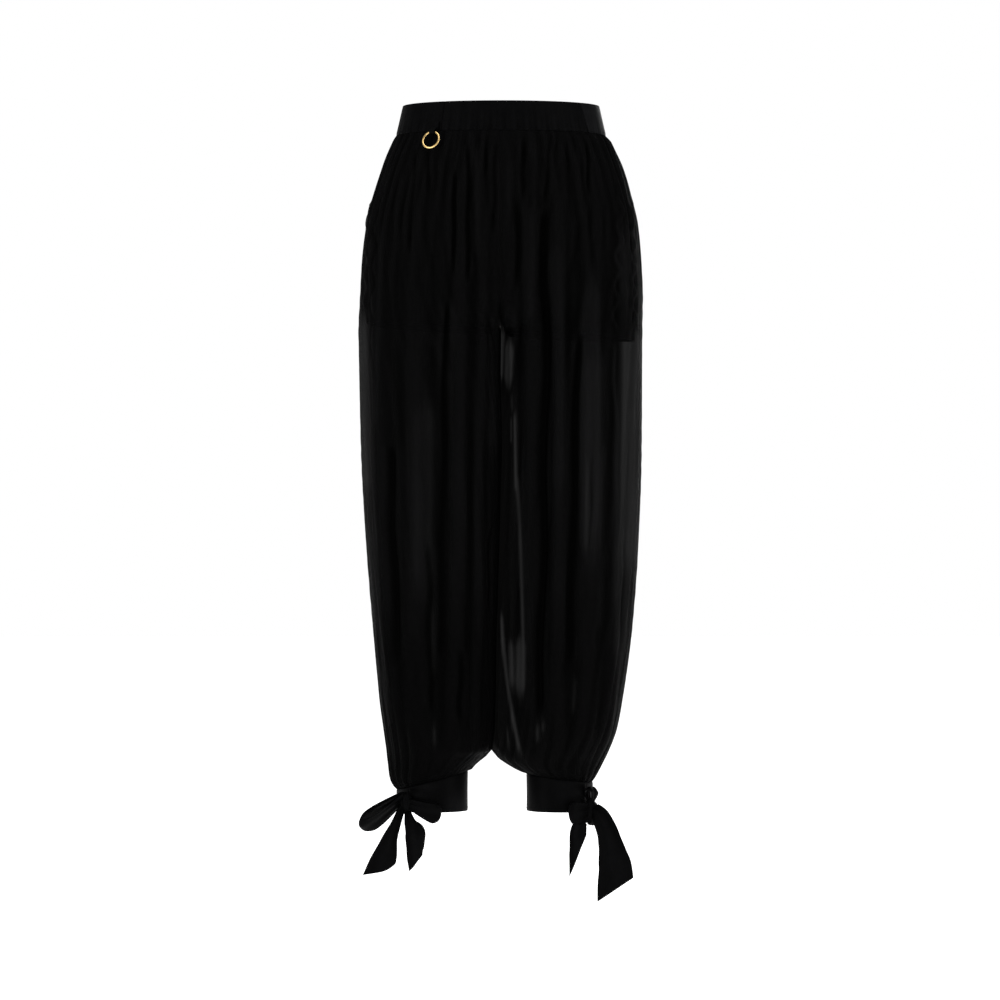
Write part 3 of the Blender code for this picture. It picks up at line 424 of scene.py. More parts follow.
class TrouserSizes(bpy.types.PropertyGroup):
    """Sizes of the cloth and its gathers."""

    waist_gather: length_prop(
        "Waist gathers", "How far the gathers stand out below the waistband", 0.0026, 0.0, 0.008
    )
    cuff_gather: length_prop(
        "Cuff gathers", "How far the gathers stand out above the cuffs", 0.0022, 0.0, 0.008
    )
    fine_gather: length_prop(
        "Fine gathers", "How far the fine streaks beside the bands stand out", 0.0014, 0.0, 0.004
    )
    crease_strength: share_prop("Creases", "How strongly the creases show", 1.15, 0.0, 1.5)
    band_wall: length_prop(
        "Band thickness",
        "Thickness of the waistband, with its folded layers",
        0.0024,
        0.0005,
        0.003,
    )
    cuff_wall: length_prop(
        "Cuff thickness", "Thickness of the cuffs, with their folded layers", 0.0022, 0.0005, 0.003
    )
    ribbon_wall: length_prop(
        "Ribbon thickness", "Thickness of the ties' double ribbon", 0.0009, 0.0004, 0.002
    )
    lining_wall: length_prop(
        "Lining thickness", "Thickness of the lining shorts' cloth", 0.0005, 0.0003, 0.0012
    )


class TrouserFinishes(bpy.types.PropertyGroup):
    """Colours and cover of the cloths and the metal."""

    # The finish paints this colour darker in the troughs and lighter on the ridges, as painted
    # shade and highlight.
    sheer_colour: colour_prop(
        "Sheer cloth", "Colour of the sheer cloth on its ridges", (0.0021, 0.0021, 0.0022)
    )
    lining_colour: colour_prop(
        "Lining cloth", "Colour of the lining shorts", (0.0013, 0.0013, 0.0014)
    )
    # The finish paints this colour lighter on pleats and ridges and darker in hollows, as painted
    # highlight and shade.
    satin_colour: colour_prop(
        "Satin", "Colour of the bands, cuffs and ties", (0.0023, 0.0023, 0.0025)
    )
    gold_colour: colour_prop("Gold", "Colour of the ring", (0.86, 0.62, 0.28))
    gathered_cover: share_prop(
        "Gathered cover", "How much light the bunched cloth stops", 0.984, 0.5, 1.0
    )
    flat_cover: share_prop("Flat cover", "How much light one flat layer stops", 0.885, 0.3, 1.0)


class TrouserStage(bpy.types.PropertyGroup):
    """The studio."""

    floor_drop: length_prop(
        "Floor", "Distance from the lowest tie end down to the floor", 0.12, 0.0, 1.0
    )
    side_power: power_prop("Side lights", "Power of each soft side light, in watts", 40.0)
    top_power: power_prop("Top light", "Power of the soft light overhead, in watts", 60.0)


# ---------------------------------------------------------------- finishes
def math_node(operation, reflected=False):
    """The method that adds one Math node for an Amount's operator."""

    def joined(self, other):
        first, second = (other, self) if reflected else (self, other)
        inputs = {0: first, 1: second}
        return self.finish.add("ShaderNodeMath", {"operation": operation}, inputs)

    return joined


class Amount:
    """A number on the surface. Sums and products of it add Math nodes."""

    def __init__(self, finish, socket):
        self.finish = finish
        self.socket = socket

    __add__, __radd__ = math_node("ADD"), math_node("ADD", reflected=True)
    __sub__, __rsub__ = math_node("SUBTRACT"), math_node("SUBTRACT", reflected=True)
    __mul__, __rmul__ = math_node("MULTIPLY"), math_node("MULTIPLY", reflected=True)


class Finish:
    """A material for one kind of cloth or metal."""

    MIX_FACTOR, MIX_LOW, MIX_HIGH, MIX_COLOUR = 0, 6, 7, 2  # the Mix node's colour sockets

    def __init__(self, name):
        self.material = bpy.data.materials.new(name)
        self.material.use_nodes = True
        self.tree = self.material.node_tree
        self.shader = self.tree.nodes["Principled BSDF"]

    def fill(self, socket, value):
        if isinstance(value, Amount):
            self.tree.links.new(value.socket, socket)
        else:
            socket.default_value = value

    def add(self, kind, settings=None, inputs=None, output=0):
        """A node of that kind, with its settings first, then its sockets' values or links."""
        node = self.tree.nodes.new(kind)
        for key, value in (settings or {}).items():
            setattr(node, key, value)
        for key, value in (inputs or {}).items():
            self.fill(node.inputs[key], value)
        return Amount(self, node.outputs[output])

    def set(self, **values):
        """The shader's sockets, by their names with _ for a space."""
        for key, value in values.items():
            self.fill(self.shader.inputs[key.replace("_", " ")], value)

    def mixed(self, factor, low, high):
        """A colour between two, by the factor."""
        inputs = {self.MIX_FACTOR: factor, self.MIX_LOW: (*low, 1.0), self.MIX_HIGH: (*high, 1.0)}
        return self.add("ShaderNodeMix", {"data_type": "RGBA"}, inputs, self.MIX_COLOUR)

    def attribute(self, name):
        return self.add("ShaderNodeAttribute", {"attribute_name": name}, output="Fac")

    def cloth_place(self):
        """The place on the cloth, in metres across and down, as a vector and as two amounts."""
        place = self.add("ShaderNodeUVMap", {"uv_map": "cloth"})
        across = self.add("ShaderNodeSeparateXYZ", inputs={0: place}, output="X")
        return place, across, Amount(self, across.socket.node.outputs["Y"])

    def noise(self, vector, scale, detail=2.0, roughness=0.5):
        inputs = {"Vector": vector, "Scale": scale, "Detail": detail, "Roughness": roughness}
        return self.add("ShaderNodeTexNoise", {"noise_dimensions": "2D"}, inputs)

    def drawn_noise(self, vector, scales, detail, roughness):
        """Noise with a scale of its own each way."""
        inputs = {"Vector": vector, "Scale": scales}
        drawn = self.add("ShaderNodeMapping", {"vector_type": "POINT"}, inputs)
        return self.noise(drawn, 1.0, detail, roughness)

    def wave(self, amount):
        """A sine along the cloth, one turn for each thread."""
        turned = amount * (TURN / THREAD_PITCH)
        return self.add("ShaderNodeMath", {"operation": "SINE"}, {0: turned})

    def bump(self, height, strength, distance):
        inputs = {"Height": height, "Strength": strength, "Distance": distance}
        return self.add("ShaderNodeBump", inputs=inputs)


CREPE_PITCH, THREAD_PITCH = 0.0011, 0.0007


def times(colour, share):
    return tuple(share * channel for channel in colour)


def sheer_finish(finishes):
    """Crinkled sheer cloth: twisted yarns in a loose plain weave, denser where it bunches."""
    made = Finish("sheer_crepe")
    place, across, down = made.cloth_place()
    crown, thin = made.attribute("crown"), made.attribute("thinness")
    crepe = made.noise(place, 1.0 / CREPE_PITCH, 3.0, 0.6)
    streaked = made.drawn_noise(place, (90.0, 7.0, 1.0), 3.0, 0.55)
    high = times(finishes.sheer_colour, 2.0)
    # Painted shade in the troughs and painted highlight on the ridges: the crown tone sets how
    # light the base colour is.
    made.set(Base_Color=made.mixed(crown * (0.33 + 0.3 * streaked), times(high, 0.05), high))
    made.set(Roughness=0.50 + 0.22 * streaked)
    dense, flat = finishes.gathered_cover, finishes.flat_cover
    cover = dense - thin * (dense - flat) + (PLAIN_CROWN - crown) * 0.012
    made.set(Alpha=cover + (crepe - 0.5) * 0.024)
    height = crepe * 0.7 + made.wave(across) * made.wave(down) * 0.15 + streaked * 0.8
    made.set(Normal=made.bump(height, 0.35, 0.0004), Specular_IOR_Level=0.007)
    return made.material


def lining_finish(finishes):
    """Plain opaque cloth, smoother than the sheer one."""
    made = Finish("lining_plain")
    place, across, down = made.cloth_place()
    mottle = made.noise(place, 120.0, 3.0)
    high = finishes.lining_colour
    made.set(Base_Color=made.mixed(mottle, times(high, 0.5), high))
    weave = made.wave(across) * made.wave(down)
    made.set(Roughness=0.55 + 0.15 * mottle, Specular_IOR_Level=0.006)
    made.set(Normal=made.bump(weave * 0.4 + mottle, 0.25, 0.0003))
    return made.material


def satin_finish(finishes):
    """Satin with a soft sheen along its floats."""
    made = Finish("satin_black")
    place, across, down = made.cloth_place()
    crown = made.attribute("crown")
    slubs = made.drawn_noise(place, (60.0, 520.0, 1.0), 3.0, 0.6)
    clouds = made.noise(place, 70.0)
    high = times(finishes.satin_colour, 3.0)
    # Painted highlight and shade by the crown tone: ridges, pleats and lit ends lighter, hollows
    # darker.
    made.set(Base_Color=made.mixed(crown * (0.19 + 0.25 * clouds), times(high, 0.06), high))
    height = slubs * 0.5 + made.wave(across + down) * 0.2 + clouds * 0.6
    made.set(Roughness=0.34 + 0.14 * slubs, Specular_IOR_Level=0.014)
    made.set(Normal=made.bump(height, 0.25, 0.0004))
    return made.material


def thread_finish(finishes):
    """Sewing thread, twisted, a little glossier than the cloth."""
    made = Finish("thread_black")
    twist = made.noise(made.add("ShaderNodeTexCoord", output="Object"), 2500.0)
    colour = made.mixed(twist, finishes.lining_colour, times(finishes.satin_colour, 1.6))
    made.set(Base_Color=colour, Roughness=0.4 + 0.2 * twist)
    made.set(Normal=made.bump(twist, 0.4, 0.0002), Specular_IOR_Level=0.03)
    return made.material


def gold_finish(finishes):
    """Polished gold-coloured metal with faint handling marks."""
    made = Finish("gold_polished")
    place = made.add("ShaderNodeTexCoord", output="Object")
    marks = made.drawn_noise(place, (900.0, 900.0, 160.0), 4.0, 0.7)
    red, green, blue = finishes.gold_colour
    worn = (0.80 * red, 0.74 * green, 0.62 * blue)
    colour = made.mixed(made.noise(place, 220.0), worn, (red, green, blue))
    made.set(Base_Color=colour, Roughness=0.14 + 0.16 * marks)
    made.set(Normal=made.bump(marks, 0.12, 0.0002), Metallic=1.0)
    return made.material


def floor_finish():
    """A pale floor that glows a little, so that it stays even."""
    made = Finish("floor_pale")
    made.set(Base_Color=(0.92, 0.92, 0.92, 1.0), Roughness=0.9, Specular_IOR_Level=0.1)
    made.set(Emission_Color=(1.0, 1.0, 1.0, 1.0), Emission_Strength=0.8)
    return made.material


FINISHES = {
    "sheer_crepe": sheer_finish,
    "lining_plain": lining_finish,
    "satin_black": satin_finish,
    "thread_black": thread_finish,
    "gold_polished": gold_finish,
}


def finish_named(name):
    """The material of that name, made on first use."""
    made = bpy.data.materials.get(name)
    return made or FINISHES[name](bpy.context.scene.trouser_finishes)


# ---------------------------------------------------------------- cloth from a grid
def mesh_of(name, bm):
    """The bmesh as a mesh of that name. It ends the bmesh."""
    mesh = bpy.data.meshes.new(name)
    bm.to_mesh(mesh)
    bm.free()
    return mesh


def link_object(name, data):
    made = bpy.data.objects.new(name, data)
    bpy.context.scene.collection.objects.link(made)
    return made


def finished(name, mesh, finish_name):
    """The mesh as a smooth object in that finish."""
    mesh.shade_smooth()
    mesh.materials.append(finish_named(finish_name))
    return link_object(name, mesh)


def joined_piece(name, bm, finish_name):
    """A closed piece from a bmesh whose vertices are in metres."""
    bmesh.ops.recalc_face_normals(bm, faces=bm.faces)
    return finished(name, mesh_of(name, bm), finish_name)


def cloth_piece(name, points, finish_name, tones, wall=0.0, centre=None):
    """A piece of cloth whose grid takes the points, an array of rows and columns in mm.

    tones are values on the points that the finish reads. centre is a point inside the
    garment, which the faces turn away from.
    """
    down, across = points.shape[0] - 1, points.shape[1] - 1
    bm = bmesh.new()
    bmesh.ops.create_grid(bm, x_segments=across, y_segments=down, size=0.5)
    mesh = mesh_of(name, bm)
    grid = np.empty(len(mesh.vertices) * 3)
    mesh.vertices.foreach_get("co", grid)
    grid = grid.reshape(-1, 3)
    column = np.rint((grid[:, 0] + 0.5) * across).astype(int)
    row = np.rint((0.5 - grid[:, 1]) * down).astype(int)
    placed = points[row, column] * MM
    mesh.vertices.foreach_set("co", placed.ravel())
    mesh.update()
    paint_cloth(mesh, points, row, column, tones)
    if centre is not None:
        turn_outward(mesh, placed, centre)
    made = finished(name, mesh, finish_name)
    if wall:
        thickness = made.modifiers.new("cloth thickness", "SOLIDIFY")
        thickness.thickness = wall
        thickness.offset = 0.0
    return made


def paint_cloth(mesh, points, row, column, tones):
    """The cloth's own measure as its UV map, in metres, and the tones as attributes."""
    across = np.zeros(points.shape[:2])
    down = np.zeros(points.shape[:2])
    across[:, 1:] = np.linalg.norm(np.diff(points, axis=1), axis=2).cumsum(axis=1)
    down[1:] = np.linalg.norm(np.diff(points, axis=0), axis=2).cumsum(axis=0)
    across -= across[:, -1:] / 2
    layer = mesh.uv_layers.new(name="cloth")
    corner = np.empty(len(mesh.loops), dtype=np.int32)
    mesh.loops.foreach_get("vertex_index", corner)
    measure = np.stack([across[row, column], -down[row, column]], axis=1) * MM
    layer.data.foreach_set("uv", measure[corner].ravel().astype(np.float32))
    for key, value in tones.items():
        tone = mesh.attributes.new(key, "FLOAT", "POINT")
        tone.data.foreach_set("value", value[row, column].astype(np.float32))


def turn_outward(mesh, placed, centre):
    """Flips the faces if most of them look towards the centre."""
    normals = np.empty(len(mesh.vertices) * 3)
    mesh.vertices.foreach_get("normal", normals)
    away = placed - np.asarray(centre) * MM
    if (normals.reshape(-1, 3) * away).sum() < 0.0:
        mesh.flip_normals()


def dress(piece, slot, *nodes, body=GARMENT):
    """Puts a piece on its body, in place of those nodes."""
    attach(piece, body)
    if nodes:
        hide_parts(*nodes)
    return piece


# ---------------------------------------------------------------- sections
def blend(low, high, share):
    return low + (high - low) * share


def smooth(low, high, value):
    share = np.clip((value - low) / (high - low), 0.0, 1.0)
    return share * share * (3.0 - 2.0 * share)


def bell(value, reach):
    return np.exp(-((value / reach) ** 2))


def between(bottom, top, bottom_end, top_end, z):
    """1 between two levels, fading in over the ends' lengths."""
    return smooth(bottom, bottom + bottom_end, z) * (1.0 - smooth(top - top_end, top, z))


def through(places, values, at):
    """Values on a smooth curve through a falling table that never overshoots."""
    x, y, at = -np.asarray(places), np.asarray(values, dtype=float), -np.asarray(at)
    step = np.diff(x)
    rate = np.diff(y) / step
    slope = np.zeros_like(y)
    product, total = rate[:-1] * rate[1:], rate[:-1] + rate[1:]
    level = product <= 0.0
    slope[1:-1] = np.where(level, 0.0, 2.0 * product / np.where(level, 1.0, total))
    slope[0], slope[-1] = rate[0], rate[-1]
    index = np.clip(np.searchsorted(x, at, side="right") - 1, 0, len(step) - 1)
    share = np.clip((at - x[index]) / step[index], 0.0, 1.0)
    square, cube = share**2, share**3
    start = (2 * cube - 3 * square + 1) * y[index]
    end = (3 * square - 2 * cube) * y[index + 1]
    leave = (cube - 2 * square + share) * step[index] * slope[index]
    arrive = (cube - square) * step[index] * slope[index + 1]
    return start + end + leave + arrive


def section_at(z):
    columns = list(zip(*SECTIONS))
    return Section(*(through(columns[0], column, z) for column in columns))


def leg_edges(side, row):
    """A section's outer and inner edge on that side."""
    return getattr(row, f"{side}_outer"), getattr(row, f"{side}_inner")


def rounded(value, power):
    return np.sign(value) * np.abs(value) ** (2.0 / power)


def split_at(z, crotch_z, across):
    """0 where both legs share one tube, 1 where each leg is a tube of its own."""
    drop = np.clip((crotch_z + CROTCH_RISE - z) / CROTCH_RISE, 0.0, 1.0)
    at_centre = 1.0 - np.sqrt(1.0 - drop * drop)
    at_side = smooth(crotch_z + LEG_FORM, crotch_z - LEG_FORM, z)
    return blend(at_side, at_centre, smooth(CROTCH_SHARE, 1.0, across))


def spread(share, z):
    waist = 1.0 - smooth(SPREAD_TOP, SPREAD_BOTTOM, z)
    return 1.0 - (1.0 - share) ** blend(1.0, WAIST_SPREAD / HIP_SPREAD, waist)


def plain_panel(side, face, share, z, crotch_z=CROTCH_Z):
    """A panel's plain x and y, and its outward normal, at shares across and levels down."""
    across = spread(share, z)
    row = section_at(z)
    outer, inner = leg_edges(side, row)
    depth = -row.front if face == FRONT else row.back
    turn = math.pi * across
    hip_turn = math.pi / 2 * (1.0 - (1.0 - across) ** HIP_SPREAD)
    hip_x = inner + (outer - inner) * rounded(np.cos(hip_turn), row.power)
    hip_y = depth * rounded(np.sin(hip_turn), row.power)
    leg_y = depth * rounded(np.sin(turn), row.power)
    leg_x = (outer + inner) / 2 + (outer - inner) / 2 * rounded(np.cos(turn), row.power)
    shear = row.lean * leg_y * (1.0 - np.cos(turn)) / 2
    split = split_at(z, crotch_z, across)
    x, y = blend(hip_x, leg_x - shear, split), blend(hip_y, leg_y, split)
    return x, y, level_normal(x, y, side, face)


def room_to_other_leg(side, x, y, normal_x, z):
    """How far a point may move along its normal before it meets the other leg."""
    row = section_at(z)
    plane = (row.right_inner + row.left_inner) / 2 - row.lean * y
    towards = -OUTWARD[side] * normal_x
    gap = OUTWARD[side] * (x - plane)
    room = np.maximum(gap - LEG_CLEARANCE, 0.0) / np.maximum(towards, 0.01)
    return np.where(towards > 0.01, room, 1000.0)


def level_normal(x, y, side, face):
    """The level normal that points out of the garment, from rows of points."""
    along_x, along_y = np.gradient(x, axis=1), np.gradient(y, axis=1)
    length = np.hypot(along_x, along_y) + 1e-9
    turn = 1.0 if (side == RIGHT) == (face == FRONT) else -1.0
    return along_y / length * turn, -along_x / length * turn


def levels_and_shares(top, bottom, down, across):
    z = np.linspace(top, bottom, down + 1)[:, None]
    share = np.linspace(0.0, 1.0, across + 1)[None, :]
    return z + 0.0 * share, share + 0.0 * z


# ---------------------------------------------------------------- relief
def uneven(number, seed):
    """A value from -1 to 1 that changes without a pattern from one number to the next."""
    value = np.sin(number * 12.9898 + seed * 78.233) * 43758.5453
    return 2.0 * (value - np.floor(value)) - 1.0


def seam_fade(share):
    return np.minimum(1.0, np.minimum(share, 1.0 - share) / SEAM_FADE)


def gather_place(column, columns, seed):
    wander = sum(size * math.sin(turn * column + start * seed) for size, turn, start in WANDERS)
    ends = min(column, columns - column, 1)
    return (column + wander * ends) / columns


def gather_ridges(share, seed, panel_seed):
    """The gathers' profile across a panel, and the number of each point's ridge."""
    columns = 2 * GATHERS
    places = [gather_place(column, columns, seed) for column in range(columns + 1)]
    column = np.interp(share, places, range(columns + 1))
    number = 2.0 * np.floor(np.minimum(column, columns - 0.001) / 2.0) + 1.0
    height = RIDGE_MEAN + RIDGE_VARIES * uneven(number, panel_seed)
    return np.sin(math.pi * column / 2.0) ** 2 * height, number


def streaks(share, z, seed, count, far, near):
    """Fine uneven gathers, each of its own length, that fade from their seam to the far end."""
    column = share * count + 0.35 * np.sin(z / 23.0 + seed) + 1.3 * np.sin(share * 23.0 + seed)
    number = np.floor(column)
    long = 0.2 + 0.8 * (0.5 + 0.5 * uneven(number, seed))
    fade = smooth(0.0, 1.0, 1.0 - (z - near) / (far - near) / long)
    ridge = np.sin(math.pi * (column - number)) ** 2
    return ridge * fade * (0.5 + 0.5 * uneven(number, seed + 1.0))


def level_share(kind, z):
    """One column of the gather levels, at those heights."""
    table = list(zip(*GATHER_LEVELS))
    return np.interp(-z, [-level for level in table[0]], table[kind])


def fold_height(side, face, share, x, z):
    """The body folds' relief, between the seams."""
    fall = np.clip((FOLD_TOP - z) / (FOLD_TOP - FOLD_BOTTOM), 0.0, 1.0)
    height = 0.0 * share
    for number, (x_hip, x_hem, reach, rise) in enumerate(FOLDS[side, face]):
        sway = FOLD_SWAY * np.sin(z / FOLD_SWAY_STEP + 1.7 * number)
        away = np.abs(x - blend(x_hip, x_hem, fall**2) - sway) / reach
        height += rise * np.cos(np.minimum(away, 1.0) * math.pi / 2) ** 2
    return height * seam_fade(share)


def crease_height(side, face, x, z):
    """The creases' relief, by their places in x."""
    height = 0.0 * x
    for number, crease in enumerate(CREASES[side, face]):
        x_top, x_bottom, z_top, z_bottom, rise, reach, wave, pitch = crease
        fall = np.clip((z_top - z) / (z_top - z_bottom), 0.0, 1.0)
        middle = blend(x_top, x_bottom, fall) + wave * np.sin(TURN * z / pitch + number)
        ends = between(z_bottom, z_top, CREASE_ENDS, CREASE_ENDS, z)
        height += rise * ends * bell(x - middle, reach)
    return height


def crumple_height(share, z, seed):
    """Small uneven ripples, long down the leg and short across it."""
    height = 0.0 * share
    for size, across, down, start in CRUMPLES:
        ripple = np.sin(across * share + z / (3.0 * down) + start + seed)
        height += size * ripple * np.sin(z / (2.3 * down) + 5.0 * share + 2.0 * start)
    return height * smooth(BAND_BOTTOM, BAND_BOTTOM - 60.0, z)


def waist_share(side, x, z):
    """The share at which a fold that hangs straight down to this point leaves the waist."""
    row = section_at(z)
    reach = np.clip(x / leg_edges(side, row)[0], 0.0, 1.0) ** (row.power / 2)
    across = 1.0 - (1.0 - np.arccos(reach) / (math.pi / 2)) ** (1.0 / HIP_SPREAD)
    return 1.0 - (1.0 - across) ** (HIP_SPREAD / WAIST_SPREAD)


def panel_relief(side, face, share, x, z, sizes):
    """How far the sheer cloth stands out from its plain panel."""
    seed = SEEDS[side, face]
    edge = seam_fade(share)
    below = smooth(CROTCH_Z + UPRIGHT_BLEND, CROTCH_Z - UPRIGHT_BLEND, z)
    upright = blend(waist_share(side, x, z), share, below)
    swayed = upright + GATHER_SWAY * np.sin(z / GATHER_SWAY_STEP + seed) * edge
    ridge, number = gather_ridges(swayed, FACE_SEEDS[face], seed)
    waist_stretch = 1.0 + WAIST_REACH_VARIES * uneven(number, seed + 2.0)
    cuff_stretch = 1.0 + CUFF_REACH_VARIES * uneven(number, seed + 4.0)
    from_waist = BAND_BOTTOM + (z - BAND_BOTTOM) / waist_stretch
    from_cuff = CUFF_TOP + (z - CUFF_TOP) / cuff_stretch
    height = ridge * level_share(WAIST_GATHERS, from_waist) * sizes.waist_gather / MM
    height += ridge * level_share(CUFF_GATHERS, from_cuff) * sizes.cuff_gather / MM
    fine = streaks(upright, z, seed, *WAIST_STREAKS) + streaks(share, z, seed + 3.0, *CUFF_STREAKS)
    height += edge * sizes.fine_gather / MM * fine
    height += level_share(BODY_FOLDS, z) * fold_height(side, face, share, x, z)
    height += edge * crumple_height(share, z, seed)
    height += sizes.crease_strength * crease_height(side, face, x, z)
    return height


def mean_across(height, reach):
    """Each point's mean height over its neighbours across, as far as reach columns away."""
    padded = np.pad(height, ((0, 0), (reach, reach)), mode="edge")
    sums = np.cumsum(np.pad(padded, ((0, 0), (1, 0))), axis=1)
    width = 2 * reach + 1
    return (sums[:, width:] - sums[:, :-width]) / width


def crown_of(height):
    """Up to 1 on a ridge, 0.7 on plain cloth and 0 in a trough: the painted highlight and painted
    shade that the finishes draw.
    """
    above = sum(weight * (height - mean_across(height, reach)) for weight, reach in CROWN_MEANS)
    return 1.0 / (1.0 + np.exp(-above - CROWN_START))


def patches(rows, x, z):
    """The cover of those places, each with pointed ends, or 0 away from them."""
    total = 0.0 * x
    for place in (Thin(*row) for row in rows):
        length = place.z_top - place.z_bottom
        fall = np.clip((place.z_top - z) / length, 0.0, 1.0)
        middle = blend(place.x_top, place.x_bottom, fall) + 4 * place.bow * fall * (1.0 - fall)
        short_end = min(THIN_ENDS, length / 5)
        top_end = short_end * (1.0 + min(place.reach / 8, 1.5))
        bottom_end = short_end * (1.0 + min((place.reach / 6) ** 2, 6.0))
        ends = between(place.z_bottom, place.z_top, bottom_end, top_end, z)
        reach = place.reach * (THIN_POINT + (1.0 - THIN_POINT) * ends)
        edge = np.minimum(THIN_EDGE, reach)
        across = 1.0 - smooth(reach - edge, reach + edge, np.abs(x - middle))
        total = np.maximum(total, place.cover * across * ends)
    return total


def thinness(side, face, share, x, z):
    """0 where the cloth is bunched, more where it lies flat and light comes through."""
    total = patches(THINS[side], x, z)
    if side == LEFT:
        most, start, full = INSEAM_THIN[face]
        inseam = most * smooth(start, full, share) * smooth(*INSEAM_LEVELS, z)
        total = np.maximum(total, inseam)
    return total


def cuff_reach(side, x):
    """How far out over the cuff a point lies, from -1 at the inner side to 1 at the outer."""
    return OUTWARD[side] * (x - CUFF_CENTRE[side]) / CUFF_WIDTH[side]


def droop(side, x, z):
    """How far a point near the cuff's top sinks, more the further out it lies."""
    share = np.clip((DROOP_TOP - z) / (DROOP_TOP - CUFF_TOP), 0.0, 1.0)
    return (CUFF_SINK[side] + CUFF_DROOP[side] * cuff_reach(side, x)) * share


def blouse(side, x, z):
    """How far the cloth sags over the cuff's top before it turns back to its seam."""
    back = 1.0 - smooth(BLOUSE_FULL - 3.0, CUFF_TOP, z)
    sag = 1.0 - 0.75 * np.clip(cuff_reach(side, x), 0.0, 1.0) ** 2
    return BLOUSE * sag * smooth(BLOUSE_TOP, BLOUSE_FULL, z) * back


def own_quarter(x, y, side, face, joined):
    """The points, kept inside their own quarter of the garment where the legs are joined."""
    inside = np.minimum(x, 0.0) if side == RIGHT else np.maximum(x, 0.0)
    kept_y = np.minimum(y, 0.0) if face == FRONT else np.maximum(y, 0.0)
    return np.where(joined, inside, x), kept_y


# ---------------------------------------------------------------- sheer panels
def sheer_points(side, face, share, z, sizes):
    """A sheer panel's points, with its relief and its place in x."""
    x, y, (normal_x, normal_y) = plain_panel(side, face, share, z)
    height = panel_relief(side, face, share, x, z, sizes)
    height = np.minimum(height, room_to_other_leg(side, x, y, normal_x, z))
    out_x, out_y = x + normal_x * height, y + normal_y * height
    out_x, out_y = own_quarter(out_x, out_y, side, face, z >= CROTCH_Z)
    sunk = z - droop(side, x, z) - blouse(side, x, z)
    return np.stack([out_x, out_y, sunk], axis=2), height, x


def sheer_panel(side, face, sizes):
    z, share = levels_and_shares(BAND_BOTTOM, CUFF_TOP, SHEER_DOWN, SHEER_ACROSS)
    points, height, x = sheer_points(side, face, share, z, sizes)
    # Painted light on the front: gleam adds painted highlights, shade paints the legs darker
    # towards the ankles, and the crown tone paints ridges lighter and troughs darker.
    gleam = patches(GLEAMS[side], x, z) if face == FRONT else 0.0
    shade = 1.0 - LOWER_SHADE[side] * smooth(*LOWER_SHADE_LEVELS, z)
    crown = crown_of(height)
    thin = thinness(side, face, share, x, z) * (THIN_IN_TROUGH + THIN_BY_CROWN * crown)
    tones = {"crown": crown * (1.0 + gleam) * shade, "thinness": thin}
    middle = (CUFF_CENTRE[side], 0.0, -450.0)
    made = cloth_piece(f"sheer_{side}_{face}", points, "sheer_crepe", tones, centre=middle)
    return dress(made, SHEER, f"trouser_{side}_{face}")


def seam_line(side, inseam, top, sizes):
    """The points down one leg's side seam or inseam."""
    z = np.linspace(top, CUFF_TOP, SEAM_STEPS)[:, None]
    near = np.linspace(0.98, 1.0, 3) if inseam else np.linspace(0.0, 0.02, 3)
    share = near[None, :] + 0.0 * z
    points, _, _ = sheer_points(side, FRONT, share, z + 0.0 * share, sizes)
    return points[:, -1 if inseam else 0]


def seam_tape(name, line, outward_x):
    """A narrow seam along two panels' meeting edge: a ridge with a puckered top."""
    out = np.zeros_like(line)
    out[:, 0] = outward_x
    along = np.gradient(line, axis=0)
    along /= np.linalg.norm(along, axis=1, keepdims=True) + 1e-9
    wide = np.cross(along, out)
    run = np.arange(len(line))
    rows = []
    for place in (-1.0, -0.5, 0.0, 0.5, 1.0):
        waves = np.sin(run * 0.83 + 1.5 * place + np.sin(run * 0.11) * 2.5)
        waves = waves * (0.5 + 0.5 * np.sin(run * 0.13))
        lift = SEAM_RISE * (1.0 - place * place) + SEAM_PUCKER * (waves + 0.3 * uneven(run, place))
        sway = 0.5 * SEAM_HALF * np.sin(run * 0.17 + np.sin(run * 0.05) * 2.0)
        aside = (place * SEAM_HALF + sway)[:, None]
        rows.append(line + wide * aside + (lift[:, None] + SEAM_LIFT) * out)
    points = np.stack(rows, axis=1)
    plain = np.ones(points.shape[:2])
    tones = {"crown": EVEN_CROWN * plain, "thinness": -0.3 * plain}
    inside = line.mean(axis=0) - out[0] * 500
    return dress(cloth_piece(name, points, "sheer_crepe", tones, centre=inside), SHEER)


# ---------------------------------------------------------------- waistband
def band_points(turn, z, out):
    """The waistband's points at those turns and levels, moved out."""
    share = (BAND_TOP - z) / (BAND_TOP - BAND_BOTTOM)
    width = blend(BAND_TOP_WIDTH, BAND_BOTTOM_WIDTH, share)
    depth = blend(BAND_TOP_DEPTH, BAND_BOTTOM_DEPTH, share)
    angle = np.radians(turn)
    cosine, sine = np.cos(angle), np.sin(angle)
    x = BAND_ASIDE + width * rounded(cosine, BAND_POWER)
    y = -depth * rounded(sine, BAND_POWER)
    power = 2.0 - 2.0 / BAND_POWER
    normal_x = np.sign(cosine) * np.abs(cosine) ** power / width
    normal_y = -np.sign(sine) * np.abs(sine) ** power / depth
    length = np.hypot(normal_x, normal_y)
    return np.stack([x + normal_x / length * out, y + normal_y / length * out, z], axis=2)


